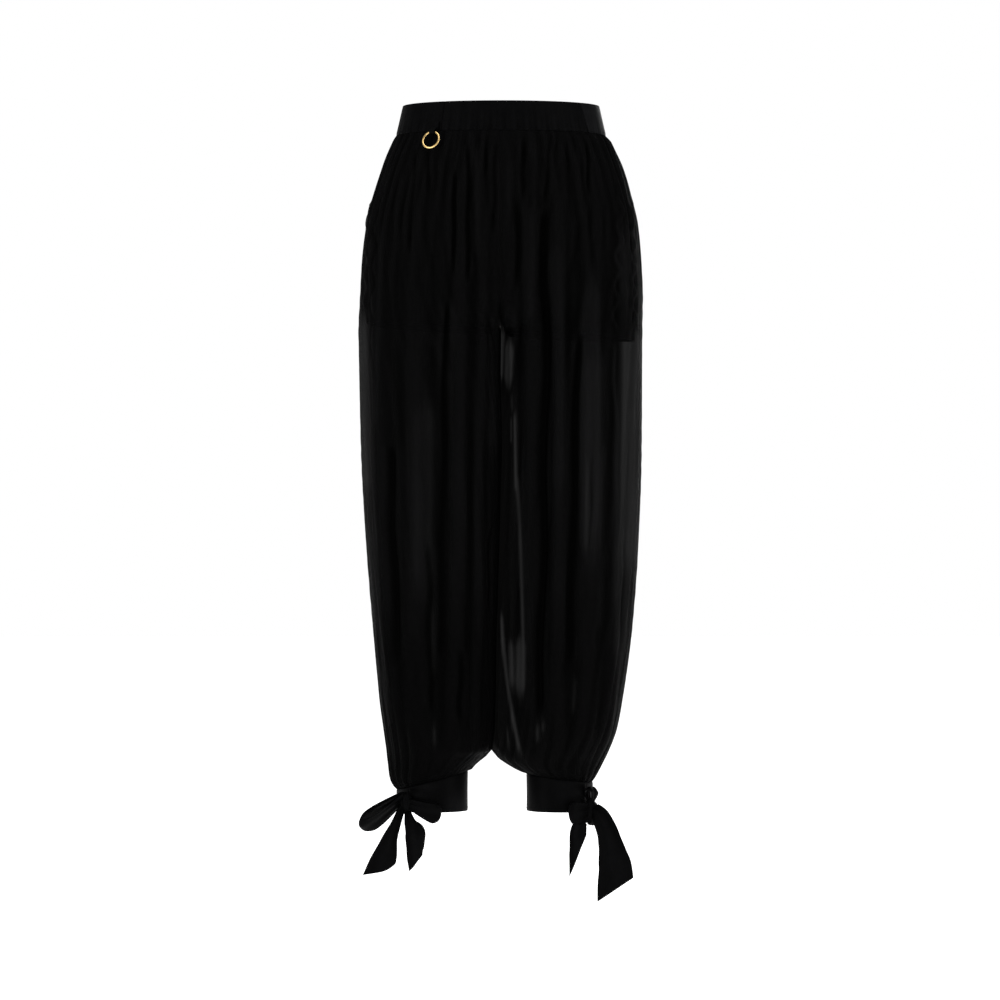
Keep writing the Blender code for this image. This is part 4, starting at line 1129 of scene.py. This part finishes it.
def waistband(face, tops, bottoms, across, sizes):
    """A stretch of the waistband, with soft ripples over the gathers below it."""
    z, share = levels_and_shares(BAND_TOP, BAND_BOTTOM, BAND_DOWN, across)
    fall = (BAND_TOP - z) / (BAND_TOP - BAND_BOTTOM)
    start, end = blend(tops[0], bottoms[0], fall), blend(tops[1], bottoms[1], fall)
    turn = blend(start, end, share)
    ripple = np.sin(turn * 1.9) * 0.5 + np.sin(turn * 0.83 + 1.0) * 0.5
    height = BAND_RIPPLE * ripple * fall**2
    for level, reach, depth in BAND_PRESSED:
        height = height - depth * bell(z - level, reach)
    near_end = np.minimum(share, 1.0 - share) * np.radians(end - start) * BAND_TOP_DEPTH
    height = height - BAND_END_PRESSED[1] * bell(near_end, BAND_END_PRESSED[0])
    # Painted highlight on the back band's left end, and painted highlight and shade on the ripples
    # and pressed lines, in the crown tone.
    to_end = (360.0 + BAND_LEFT_END[0] - turn) / BAND_LIT_TURN
    lit = BAND_LIT * bell(np.maximum(to_end - 1.0, 0.0), 1.0) if face == BACK else 0.0
    tones = {"crown": 0.55 + lit + 0.25 * ripple * fall + 0.1 * height}
    points, centre = band_points(turn, z, height), (0.0, 0.0, 0.0)
    made = cloth_piece(f"band_{face}", points, "satin_black", tones, sizes.band_wall, centre)
    rolled = made.modifiers.new("rolled edges", "BEVEL")
    rolled.width = sizes.band_wall * 0.3
    rolled.segments = 2
    rolled.limit_method = "ANGLE"
    return dress(made, SATIN, f"waistband_{face}")


# ---------------------------------------------------------------- stitches
def stitch_row(name, line, out):
    """A row of thread stitches along a line of points, half sunk in the cloth."""
    steps = np.linalg.norm(np.diff(line, axis=0), axis=1)
    run = np.concatenate([[0.0], steps.cumsum()])
    pitch = STITCH_LENGTH + STITCH_GAP

    def at(place, rows):
        return Vector([np.interp(place, run, rows[:, axis]) for axis in range(3)])

    bm = bmesh.new()
    for place in np.arange(pitch / 2, run[-1], pitch):
        middle, up = at(place, line), at(place, out).normalized()
        along = (at(place + 0.5, line) - middle).normalized()
        side = up.cross(along).normalized()
        turned = Matrix((along, side, along.cross(side))).transposed().to_4x4()
        size = Matrix.Diagonal((STITCH_LENGTH / 2, STITCH_HALF, STITCH_HALF, 1.0))
        place_it = Matrix.Translation(middle * MM) @ turned @ Matrix.Scale(MM, 4) @ size
        bmesh.ops.create_uvsphere(bm, u_segments=6, v_segments=5, radius=1.0, matrix=place_it)
    return dress(joined_piece(name, bm, "thread_black"), SATIN)


def band_stitches(face, turns, out):
    turn = np.linspace(*turns, 240)[None, :]
    z = BAND_STITCHES_Z + 0.0 * turn
    points, further = band_points(turn, z, out)[0], band_points(turn, z, out + 1.0)[0]
    return stitch_row(f"band_stitches_{face}", points, further - points)


# ---------------------------------------------------------------- lining shorts
def lining_plain(side, face, share, z):
    """The line that the lining keeps inside of: the waistband's, then the sheer cloth's."""
    x, y, _ = plain_panel(side, face, share, z, LINING_CROTCH_Z)
    fall = (BAND_TOP - z) / (BAND_TOP - BAND_BOTTOM)
    width = blend(BAND_TOP_WIDTH, BAND_BOTTOM_WIDTH, fall) * OUTWARD[side]
    depth = blend(BAND_TOP_DEPTH, BAND_BOTTOM_DEPTH, fall) * (1 if face == BACK else -1)
    turn = math.pi / 2 * (1.0 - (1.0 - spread(share, z)) ** HIP_SPREAD)
    aside = BAND_ASIDE * rounded(np.cos(turn), BAND_POWER)
    x = np.where(z > BAND_BOTTOM, aside + width * rounded(np.cos(turn), BAND_POWER), x)
    y = np.where(z > BAND_BOTTOM, depth * rounded(np.sin(turn), BAND_POWER), y)
    return x, y, level_normal(x, y, side, face)


def lining_points(side, face, share, fall):
    """A lining quarter's points, from its top to its slanting hem."""
    hem = blend(LINING_HEM[side], LINING_INSEAM_HEM, share)
    z = blend(LINING_TOP, hem, fall)
    x, y, (normal_x, normal_y) = lining_plain(side, face, share, z)
    deep = np.clip((BAND_BOTTOM - z) / (BAND_BOTTOM - LINING_INSET_Z), 0.0, 1.0)
    soft = LINING_SOFT * np.sin(share * 17.0 + SEEDS[side, face]) * np.sin(z / 60.0)
    soft = soft * smooth(*LINING_SOFT_LEVELS, z)
    rolled = HEM_ROLL * bell(z - hem, 1.2)
    stitched = HEM_SUNK * bell(z - hem - HEM_DEPTH, 0.9)
    inset = blend(LINING_TUCK, LINING_INSET, deep) - soft - rolled + stitched
    below = (LINING_CROTCH_Z - z) / (LINING_CROTCH_Z - LINING_INSEAM_HEM)
    from_seam = (1.0 - share) / LINING_SEAM_SHARE
    across = np.clip(np.maximum(below, from_seam), 0.0, 1.0)
    x, y = x - normal_x * inset * across, y - normal_y * inset
    x, y = own_quarter(x, y, side, face, z >= LINING_CROTCH_Z)
    return np.stack([x, y, z], axis=2)


def lining_panel(side, face, sizes):
    fall, share = levels_and_shares(0.0, 1.0, LINING_DOWN, LINING_ACROSS)
    points = lining_points(side, face, share, fall)
    middle = (CUFF_CENTRE[side], 0.0, -150.0)
    name, wall = f"lining_shorts_{side}_{face}", sizes.lining_wall
    made = cloth_piece(name, points, "lining_plain", {}, wall, middle)
    return dress(made, LINING, f"lining_{side}_{face}")


def hem_stitches(side, face):
    share = np.linspace(0.02, 0.98, 120)[None, :]
    line = lining_points(side, face, share, 0.0 * share + HEM_STITCHES)[0]
    out = line - np.array([CUFF_CENTRE[side], 0.0, 0.0])
    out[:, 2] = 0.0
    out /= np.linalg.norm(out, axis=1, keepdims=True)
    made = stitch_row(f"lining_hem_{side}_{face}", line + out * 0.35, out)
    return made


# ---------------------------------------------------------------- cuffs
def cuff_points(side, turn, fall, out):
    """Points round a cuff, from straight out to the side and on to the front."""
    x = CUFF_CENTRE[side] + OUTWARD[side] * (CUFF_WIDTH[side] + out) * np.cos(turn)
    y = -(CUFF_DEPTH + out) * np.sin(turn)
    z = blend(CUFF_TOP - droop(side, x, CUFF_TOP), CUFF_BOTTOM, fall)
    return np.stack([x, y, z], axis=2)


def cuff(side, sizes):
    """The ankle band, pinched and rippled towards the knot."""
    fall, share = levels_and_shares(0.0, 1.0, CUFF_DOWN, CUFF_ACROSS)
    turn = math.radians(KNOT_TURN[side]) + TURN * share
    pinch = bell(np.minimum(share, 1.0 - share) * TURN, 0.55)
    pleats = np.sin(fall * 15.0 + 2.0 * np.sin(turn * 2.0)) * pinch
    waves = 0.35 * np.sin(turn * 5.0 + 3.0 * fall) + 0.3 * np.sin(turn * 9.0 + 1.0)
    edges = bell(fall * CUFF_RUN, 1.6) + bell((1.0 - fall) * CUFF_RUN, 1.2)
    height = 0.7 * pleats + waves * (1.0 - 0.5 * fall) - 0.4 * edges
    points = cuff_points(side, turn, fall, height)
    # Painted highlight on the pleats and ripples, and on the right cuff a painted glint near its
    # lower edge.
    crown = np.clip(0.55 + 0.3 * pleats + 0.35 * waves, 0.0, 1.0)
    if side == RIGHT:
        round_it = np.exp((np.cos(turn - math.radians(CUFF_GLEAM_TURN)) - 1.0) / 0.08)
        crown += CUFF_GLEAM * round_it * bell(fall - 0.85, 0.3)
    name, middle = f"ankle_cuff_{side}", (CUFF_CENTRE[side], 0.0, CUFF_MIDDLE_Z)
    made = cloth_piece(name, points, "satin_black", {"crown": crown}, sizes.cuff_wall, middle)
    return dress(made, SATIN, f"cuff_{side}")


def cuff_stitches(side, name, fall):
    turn = np.linspace(0.0, TURN, 240)[None, :]
    level = fall + 0.0 * turn
    line = cuff_points(side, turn, level, 1.25)[0]
    out = cuff_points(side, turn, level, 2.25)[0] - line
    return stitch_row(f"cuff_stitches_{name}_{side}", line, out)


# ---------------------------------------------------------------- ties
def knot_centre(side):
    out = KNOT_OUT + SEAM_GAP + KNOT_SIZE[side][1]
    turn = np.array([[math.radians(KNOT_TURN[side])]])
    x, y, _ = cuff_points(side, turn, np.zeros((1, 1)), out)[0, 0]
    return Vector((x, y, KNOT_Z[side]))


def knot(side):
    """The knot: a band of ribbon wrapped tight over the crossing, with folds round it."""
    bm = bmesh.new()
    bmesh.ops.create_uvsphere(bm, u_segments=96, v_segments=64, radius=1.0)
    along_size, out_size, up_size = KNOT_SIZE[side]
    for vert in bm.verts:
        out, along, up = vert.co
        round_it = math.atan2(up, out)
        fold = 0.05 * math.sin(9.0 * along + 1.2 * math.sin(2 * round_it))
        fold += 0.03 * math.sin(17.0 * along + 2.0 * round_it)
        waist = 1.0 - 0.10 * (1.0 - along * along) * abs(math.cos(round_it)) ** 4
        scale = (0.97 + fold) * waist
        vert.co = Vector((out * out_size, along * along_size, up * up_size)) * scale * MM
    turn = Matrix.Rotation(-OUTWARD[side] * math.radians(KNOT_TURN[side]), 3, "Z")
    bmesh.ops.rotate(bm, verts=bm.verts, matrix=turn)
    bmesh.ops.translate(bm, verts=bm.verts, vec=knot_centre(side) * MM)
    made = joined_piece(f"tie_knot_{side}", bm, "satin_black")
    add_constant_tones(made.data)
    return dress(made, SATIN, f"tie_{side}_knot")


def add_constant_tones(mesh):
    """The tones and the cloth's measure on a piece that has no grid of its own."""
    tone = mesh.attributes.new("crown", "FLOAT", "POINT")
    tone.data.foreach_set("value", np.full(len(mesh.vertices), EVEN_CROWN, dtype=np.float32))
    layer = mesh.uv_layers.new(name="cloth")
    for corner, loop in enumerate(mesh.loops):
        place = mesh.vertices[loop.vertex_index].co
        layer.data[corner].uv = (place.x + place.y, place.z)


def ribbon(side, part, across, frame_at, sizes):
    """A stretch of ribbon from the knot. frame_at(row, offset) gives a point and its crown, the
    painted highlight and shade on its pleats.
    """
    points = np.zeros((RIBBON_DOWN + 1, across + 1, 3))
    crown = np.zeros(points.shape[:2])
    for row, column in np.ndindex(crown.shape):
        points[row, column], crown[row, column] = frame_at(row, column / across - 0.5)
    name, wall = f"bow_{side}_{part}", sizes.ribbon_wall
    made = cloth_piece(name, points, "satin_black", {"crown": crown}, wall)
    dress(made, SATIN, f"tie_{side}_{part}")


def loop(side, part, sizes):
    """A bow's loop, pleated where it leaves the knot."""
    size = LOOPS[side, part]
    reach = Vector((size.reach_x, size.reach_y, size.reach_z))
    length, forward = reach.length, reach.normalized()
    wide = forward.cross(Vector((0.0, -1.0, 0.0))).normalized()
    wide = Matrix.Rotation(math.radians(size.tilt), 3, forward) @ wide
    open_way = wide.cross(forward)
    root_gap = LOOP_ROOT + 2 * SEAM_GAP
    start = knot_centre(side) + Vector((0.0, 0.0, size.rise))

    def centre(row):
        turn = math.pi * row / RIBBON_DOWN
        aside = root_gap * math.cos(turn) + size.opening / 2 * math.sin(2 * turn)
        return start + forward * (length * math.sin(turn)) + open_way * aside

    def frame_at(row, offset):
        turn = math.pi * row / RIBBON_DOWN
        path = centre(min(row + 1, RIBBON_DOWN)) - centre(max(row - 1, 0))
        width = blend(size.root, size.width, math.sin(turn) ** LOOP_FULLNESS)
        face = path.cross(wide).normalized()
        at_root = (1.0 - math.sin(turn)) ** 1.5
        pleat = 1.1 * at_root * math.cos(4.5 * math.pi * offset + row * 0.02)
        soft = 0.5 * math.sin(3.0 * math.pi * offset + 0.09 * row) * (1.0 - at_root)
        rolled = -0.9 * abs(2 * offset) ** 6 * (1.0 - at_root)
        lift = pleat * 0.8 + soft * 0.7 + rolled
        drawn_in = forward * (0.3 * width * (2 * offset) ** 4 * math.sin(turn) ** 2)
        point = centre(row) + wide * (width * offset) + face * lift - drawn_in
        # The tone paints the pleats' tops lighter and their hollows darker, as painted highlight
        # and shade.
        return point, 0.5 + 0.3 * (pleat + soft)

    ribbon(side, f"loop_{part}", LOOP_ACROSS, frame_at, sizes)


def curve_through(rows, at):
    """The table's row at a share of its length, on a smooth curve through all rows."""
    run = at * (len(rows) - 1)
    index = min(int(run), len(rows) - 2)
    local = run - index
    picks = [rows[min(max(index + k, 0), len(rows) - 1)] for k in (-1, 0, 1, 2)]
    values = []
    for a, b, c, d in zip(*picks):
        leave, arrive = (c - a) / 2, (d - b) / 2
        square = 3 * (c - b) - 2 * leave - arrive
        cube = 2 * (b - c) + leave + arrive
        values.append(b + leave * local + square * local**2 + cube * local**3)
    return Station(*values)


def tail(side, part, sizes):
    """A bow's tail, pleated at the knot and cut on the slant."""
    stations = TAILS[side, part]

    def frame_at(row, offset):
        share = row / RIBBON_DOWN
        here = curve_through(stations, share)
        ahead = Vector(curve_through(stations, min(share + 0.02, 1.0))[:3])
        behind = Vector(curve_through(stations, max(share - 0.02, 0.0))[:3])
        path = (ahead - behind).normalized()
        wide = path.cross(Vector((0.0, -1.0, 0.0))).normalized()
        wide = Matrix.Rotation(math.radians(here.twist), 3, path) @ wide
        face = path.cross(wide)
        at_root = (1.0 - share) ** 2.5
        pleat = at_root * math.cos(4.0 * math.pi * offset)
        soft = (1.0 - at_root) * math.sin(2.2 * math.pi * offset + 2.5 * share)
        lift = 1.2 * pleat + 0.9 * soft - here.crown * (1.0 - 4.0 * offset * offset)
        middle = Vector(here[:3]) + wide * (here.width * offset) + face * lift
        inner = max(-2.0 * offset, 0.0)
        corner = TAIL_CORNER.get((side, part), 0.0) * inner**2 * share**2
        edge_in = 0.4 * corner * inner * share**6
        slant = TAIL_CUT[side, part] * offset * share**CUT_POWER - corner
        # The tone paints the pleats' tops lighter and their hollows darker, as painted highlight
        # and shade.
        return middle + path * slant + wide * edge_in, 0.55 + 0.25 * pleat + 0.15 * soft

    ribbon(side, f"tail_{part}", TAIL_ACROSS, frame_at, sizes)


# ---------------------------------------------------------------- ring and tab
def ring_place():
    """The ring joint's pivot, the ring's direction down from it, and the joint's axis."""
    joint = next(j for j in frame["joints"] if j["child"] == RING_BODY)
    pivot = Vector(joint["pos_m"])
    low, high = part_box("ring")
    middle = (Vector(low) + Vector(high)) / 2
    return pivot, (middle - pivot).normalized(), Vector(joint["axis"]).normalized()


def fine_ring():
    """The plain round ring, spun from a circle of wire."""
    pivot, down, axis = ring_place()
    radius = (RING_OUTER - RING_WIRE) / 2 * MM
    bm = bmesh.new()
    bmesh.ops.create_circle(bm, segments=32, radius=RING_WIRE / 2 * MM)
    bmesh.ops.rotate(bm, verts=bm.verts, matrix=Matrix.Rotation(math.pi / 2, 3, "X"))
    bmesh.ops.translate(bm, verts=bm.verts, vec=(radius, 0.0, 0.0))
    bmesh.ops.spin(
        bm,
        geom=list(bm.verts) + list(bm.edges),
        cent=(0.0, 0.0, 0.0),
        axis=(0.0, 0.0, 1.0),
        angle=TURN,
        steps=128,
        use_merge=True,
    )
    turned = Matrix((axis, -down, axis.cross(-down))).transposed().to_4x4()
    place = Matrix.Translation(pivot + down * radius) @ turned
    bmesh.ops.transform(bm, matrix=place, verts=bm.verts)
    return dress(joined_piece("ring_gold", bm, "gold_polished"), METAL, "ring", body=RING_BODY)


def tab_path():
    """The tab's middle line: down the band, round the wire and back up over itself."""
    turn = np.array([[math.degrees(math.acos(RING_X / BAND_BOTTOM_WIDTH))]])
    z = np.array([[BAND_BOTTOM]])
    point = Vector(band_points(turn, z, 1.3)[0, 0])
    normal = (Vector(band_points(turn, z, 2.3)[0, 0]) - point).normalized()
    up = Vector((0.0, 0.0, 1.0))
    pivot = ring_place()[0] / MM
    radius = TAB_BORE + TAB_WALL / 2
    slant = up - normal * ((BAND_BOTTOM_DEPTH - BAND_TOP_DEPTH) / (BAND_TOP - BAND_BOTTOM))
    back_out = SEAM_GAP + TAB_WALL / 2
    front_out = back_out + TAB_WALL + SEAM_GAP
    path = [point + slant * rise + normal * back_out for rise in (TAB_HEIGHT, TAB_BEND)]
    for step in range(TAB_TURNS + 1):
        angle = math.radians(blend(TAB_LOOP_START, TAB_LOOP_END, step / TAB_TURNS))
        path.append(pivot + normal * (radius * math.cos(angle)) + up * (radius * math.sin(angle)))
    path += [point + slant * rise + normal * front_out for rise in (TAB_FRONT_BEND, TAB_HEIGHT)]
    return path, up.cross(normal)


def ring_tab(sizes):
    path, wide = tab_path()
    run = [0.0]
    for a, b in zip(path, path[1:]):
        run.append(run[-1] + (b - a).length)
    fine = np.linspace(0.0, run[-1], 90)
    line = np.stack([np.interp(fine, run, [p[axis] for p in path]) for axis in range(3)], axis=1)
    offsets = np.linspace(-0.5, 0.5, 13) * TAB_WIDTH
    points = line[:, None, :] + np.array(wide)[None, None, :] * offsets[None, :, None]
    tones = {"crown": np.full(points.shape[:2], EVEN_CROWN)}
    made = cloth_piece("tab_of_ring", points, "satin_black", tones, TAB_WALL * MM)
    dress(made, SATIN, "ring_tab")


# ---------------------------------------------------------------- stage
CAMERA_PLACE = (0.0, -5.5, -0.511)
FIELD, SENSOR = 1.35, 36.0  # metres seen across at the origin, and millimetres
LOWEST = -1.0486  # the lowest tie end, in metres
WORLD_LIGHT, WORLD_SEEN = 0.35, 1.0
LIGHT_TARGET = (0.0, 0.0, -0.5)
SIDE_LIGHTS = {  # place and size
    "light_left": ((-2.6, -2.2, 0.4), (1.6, 2.6)),
    "light_right": ((2.8, -1.6, 0.2), (1.6, 2.6)),
    "light_back": ((0.6, 3.2, 0.6), (2.4, 2.4)),
}
TOP_LIGHT = ((0.0, -0.8, 2.4), (3.0, 3.0))


def soft_light(name, place, size, power):
    data = bpy.data.lights.new(name, "AREA")
    data.shape = "RECTANGLE"
    data.size, data.size_y = size
    data.energy = power
    made = link_object(name, data)
    made.location = place
    aim = Vector(LIGHT_TARGET) - Vector(place)
    made.rotation_euler = aim.to_track_quat("-Z", "Y").to_euler()


def pale_floor(level):
    bm = bmesh.new()
    bmesh.ops.create_grid(bm, x_segments=8, y_segments=8, size=14.0)
    bmesh.ops.translate(bm, verts=bm.verts, vec=(0.0, 0.0, level))
    mesh = mesh_of("floor", bm)
    mesh.materials.append(floor_finish())
    link_object("floor", mesh)


def front_camera(scene):
    data = bpy.data.cameras.new("camera")
    data.sensor_width = SENSOR
    data.lens = SENSOR * -CAMERA_PLACE[1] / FIELD
    scene.camera = link_object("camera", data)
    scene.camera.location = CAMERA_PLACE
    scene.camera.rotation_euler = (math.pi / 2, 0.0, 0.0)


def studio_world(scene):
    """White where the camera looks past the cloth, and dimmer as a light."""
    scene.world = bpy.data.worlds.new("studio")
    scene.world.use_nodes = True
    tree = scene.world.node_tree
    background = tree.nodes["Background"]
    background.inputs["Color"].default_value = (1.0, 1.0, 1.0, 1.0)
    path = tree.nodes.new("ShaderNodeLightPath")
    level = tree.nodes.new("ShaderNodeMapRange")
    level.inputs["To Min"].default_value = WORLD_LIGHT
    level.inputs["To Max"].default_value = WORLD_SEEN
    tree.links.new(path.outputs["Is Camera Ray"], level.inputs["Value"])
    tree.links.new(level.outputs["Result"], background.inputs["Strength"])


# ---------------------------------------------------------------- operators
class TROUSERS_OT_sheer_panels(bpy.types.Operator):
    """Makes the four sheer panels and their seams"""

    bl_idname = "trousers.sheer_panels"
    bl_label = "Sheer panels"

    def execute(self, context):
        sizes = context.scene.trouser_sizes
        for side in SIDES:
            side_seam = seam_line(side, False, BAND_BOTTOM, sizes)
            inseam = seam_line(side, True, CROTCH_Z, sizes)
            seams = [
                seam_tape(f"seam_side_{side}", side_seam, OUTWARD[side]),
                seam_tape(f"seam_inside_{side}", inseam, -OUTWARD[side]),
            ]
            for face in FACES:
                panel = sheer_panel(side, face, sizes)
        return {"FINISHED"}


class TROUSERS_OT_lining(bpy.types.Operator):
    """Makes the opaque lining shorts with their stitched hem"""

    bl_idname = "trousers.lining"
    bl_label = "Lining shorts"

    def execute(self, context):
        for side in SIDES:
            for face in FACES:
                panel = lining_panel(side, face, context.scene.trouser_sizes)
                hem = hem_stitches(side, face)
        return {"FINISHED"}


class TROUSERS_OT_waistband(bpy.types.Operator):
    """Makes the front and back waistband with their edge stitches"""

    bl_idname = "trousers.waistband"
    bl_label = "Waistband"

    def execute(self, context):
        sizes = context.scene.trouser_sizes
        gap = math.degrees(BAND_END_GAP / BAND_TOP_DEPTH)
        ends = list(zip(BAND_LEFT_END, BAND_RIGHT_END))
        back_ends = [(right + gap, left + 360.0 - gap) for left, right in ends]
        front = waistband(FRONT, *ends, BAND_FRONT_ACROSS, sizes)
        back = waistband(BACK, *back_ends, BAND_BACK_ACROSS, sizes)
        out = sizes.band_wall / MM / 2
        front_row = band_stitches(FRONT, BAND_FRONT_STITCHES, out)
        back_row = band_stitches(BACK, BAND_BACK_STITCHES, out)
        return {"FINISHED"}


class TROUSERS_OT_cuffs(bpy.types.Operator):
    """Makes the two ankle cuffs with their edge stitches"""

    bl_idname = "trousers.cuffs"
    bl_label = "Ankle cuffs"

    def execute(self, context):
        for side in SIDES:
            band = cuff(side, context.scene.trouser_sizes)
            rows = [cuff_stitches(side, *row) for row in CUFF_STITCHES]
        return {"FINISHED"}


class TROUSERS_OT_ties(bpy.types.Operator):
    """Makes both ankle bows: knots, loops and tails"""

    bl_idname = "trousers.ties"
    bl_label = "Ankle ties"

    def execute(self, context):
        sizes = context.scene.trouser_sizes
        for side in SIDES:
            knot(side)
            for part in ("outer", "inner"):
                loop(side, part, sizes)
                tail(side, part, sizes)
        return {"FINISHED"}


class TROUSERS_OT_ring(bpy.types.Operator):
    """Makes the gold ring and the tab that holds it"""

    bl_idname = "trousers.ring"
    bl_label = "Ring and tab"

    def execute(self, context):
        fine_ring()
        ring_tab(context.scene.trouser_sizes)
        return {"FINISHED"}


class TROUSERS_OT_stage(bpy.types.Operator):
    """Makes the pale floor, the soft lights and the camera"""

    bl_idname = "trousers.stage"
    bl_label = "Stage"

    def execute(self, context):
        scene = context.scene
        pale_floor(LOWEST - scene.trouser_stage.floor_drop)
        for name, (place, size) in SIDE_LIGHTS.items():
            soft_light(name, place, size, scene.trouser_stage.side_power)
        soft_light("light_top", *TOP_LIGHT, scene.trouser_stage.top_power)
        front_camera(scene)
        studio_world(scene)
        scene.view_settings.view_transform = "Standard"
        return {"FINISHED"}


STEPS = (
    TROUSERS_OT_stage,
    TROUSERS_OT_waistband,
    TROUSERS_OT_sheer_panels,
    TROUSERS_OT_lining,
    TROUSERS_OT_cuffs,
    TROUSERS_OT_ties,
    TROUSERS_OT_ring,
)


class TROUSERS_PT_pieces(bpy.types.Panel):
    """The trousers' pieces, sizes and finishes"""

    bl_label = "Balloon trousers"
    bl_idname = "TROUSERS_PT_pieces"
    bl_space_type = "VIEW_3D"
    bl_region_type = "UI"
    bl_category = "Trousers"

    def draw(self, context):
        for step in STEPS:
            self.layout.operator(step.bl_idname)
        for group in GROUPS:
            values = getattr(context.scene, group)
            box = self.layout.box()
            for key in values.__annotations__:
                box.prop(values, key)


GROUPS = {
    "trouser_sizes": TrouserSizes,
    "trouser_finishes": TrouserFinishes,
    "trouser_stage": TrouserStage,
}


def register():
    for made in (*GROUPS.values(), *STEPS, TROUSERS_PT_pieces):
        bpy.utils.register_class(made)
    for name, group in GROUPS.items():
        setattr(bpy.types.Scene, name, PointerProperty(type=group))


def unregister():
    for name in GROUPS:
        delattr(bpy.types.Scene, name)
    for made in (TROUSERS_PT_pieces, *reversed(STEPS), *GROUPS.values()):
        bpy.utils.unregister_class(made)


def main():
    register()
    for step in STEPS:
        group, name = step.bl_idname.split(".")
        getattr(getattr(bpy.ops, group), name)()


if __name__ == "__main__":
    main()
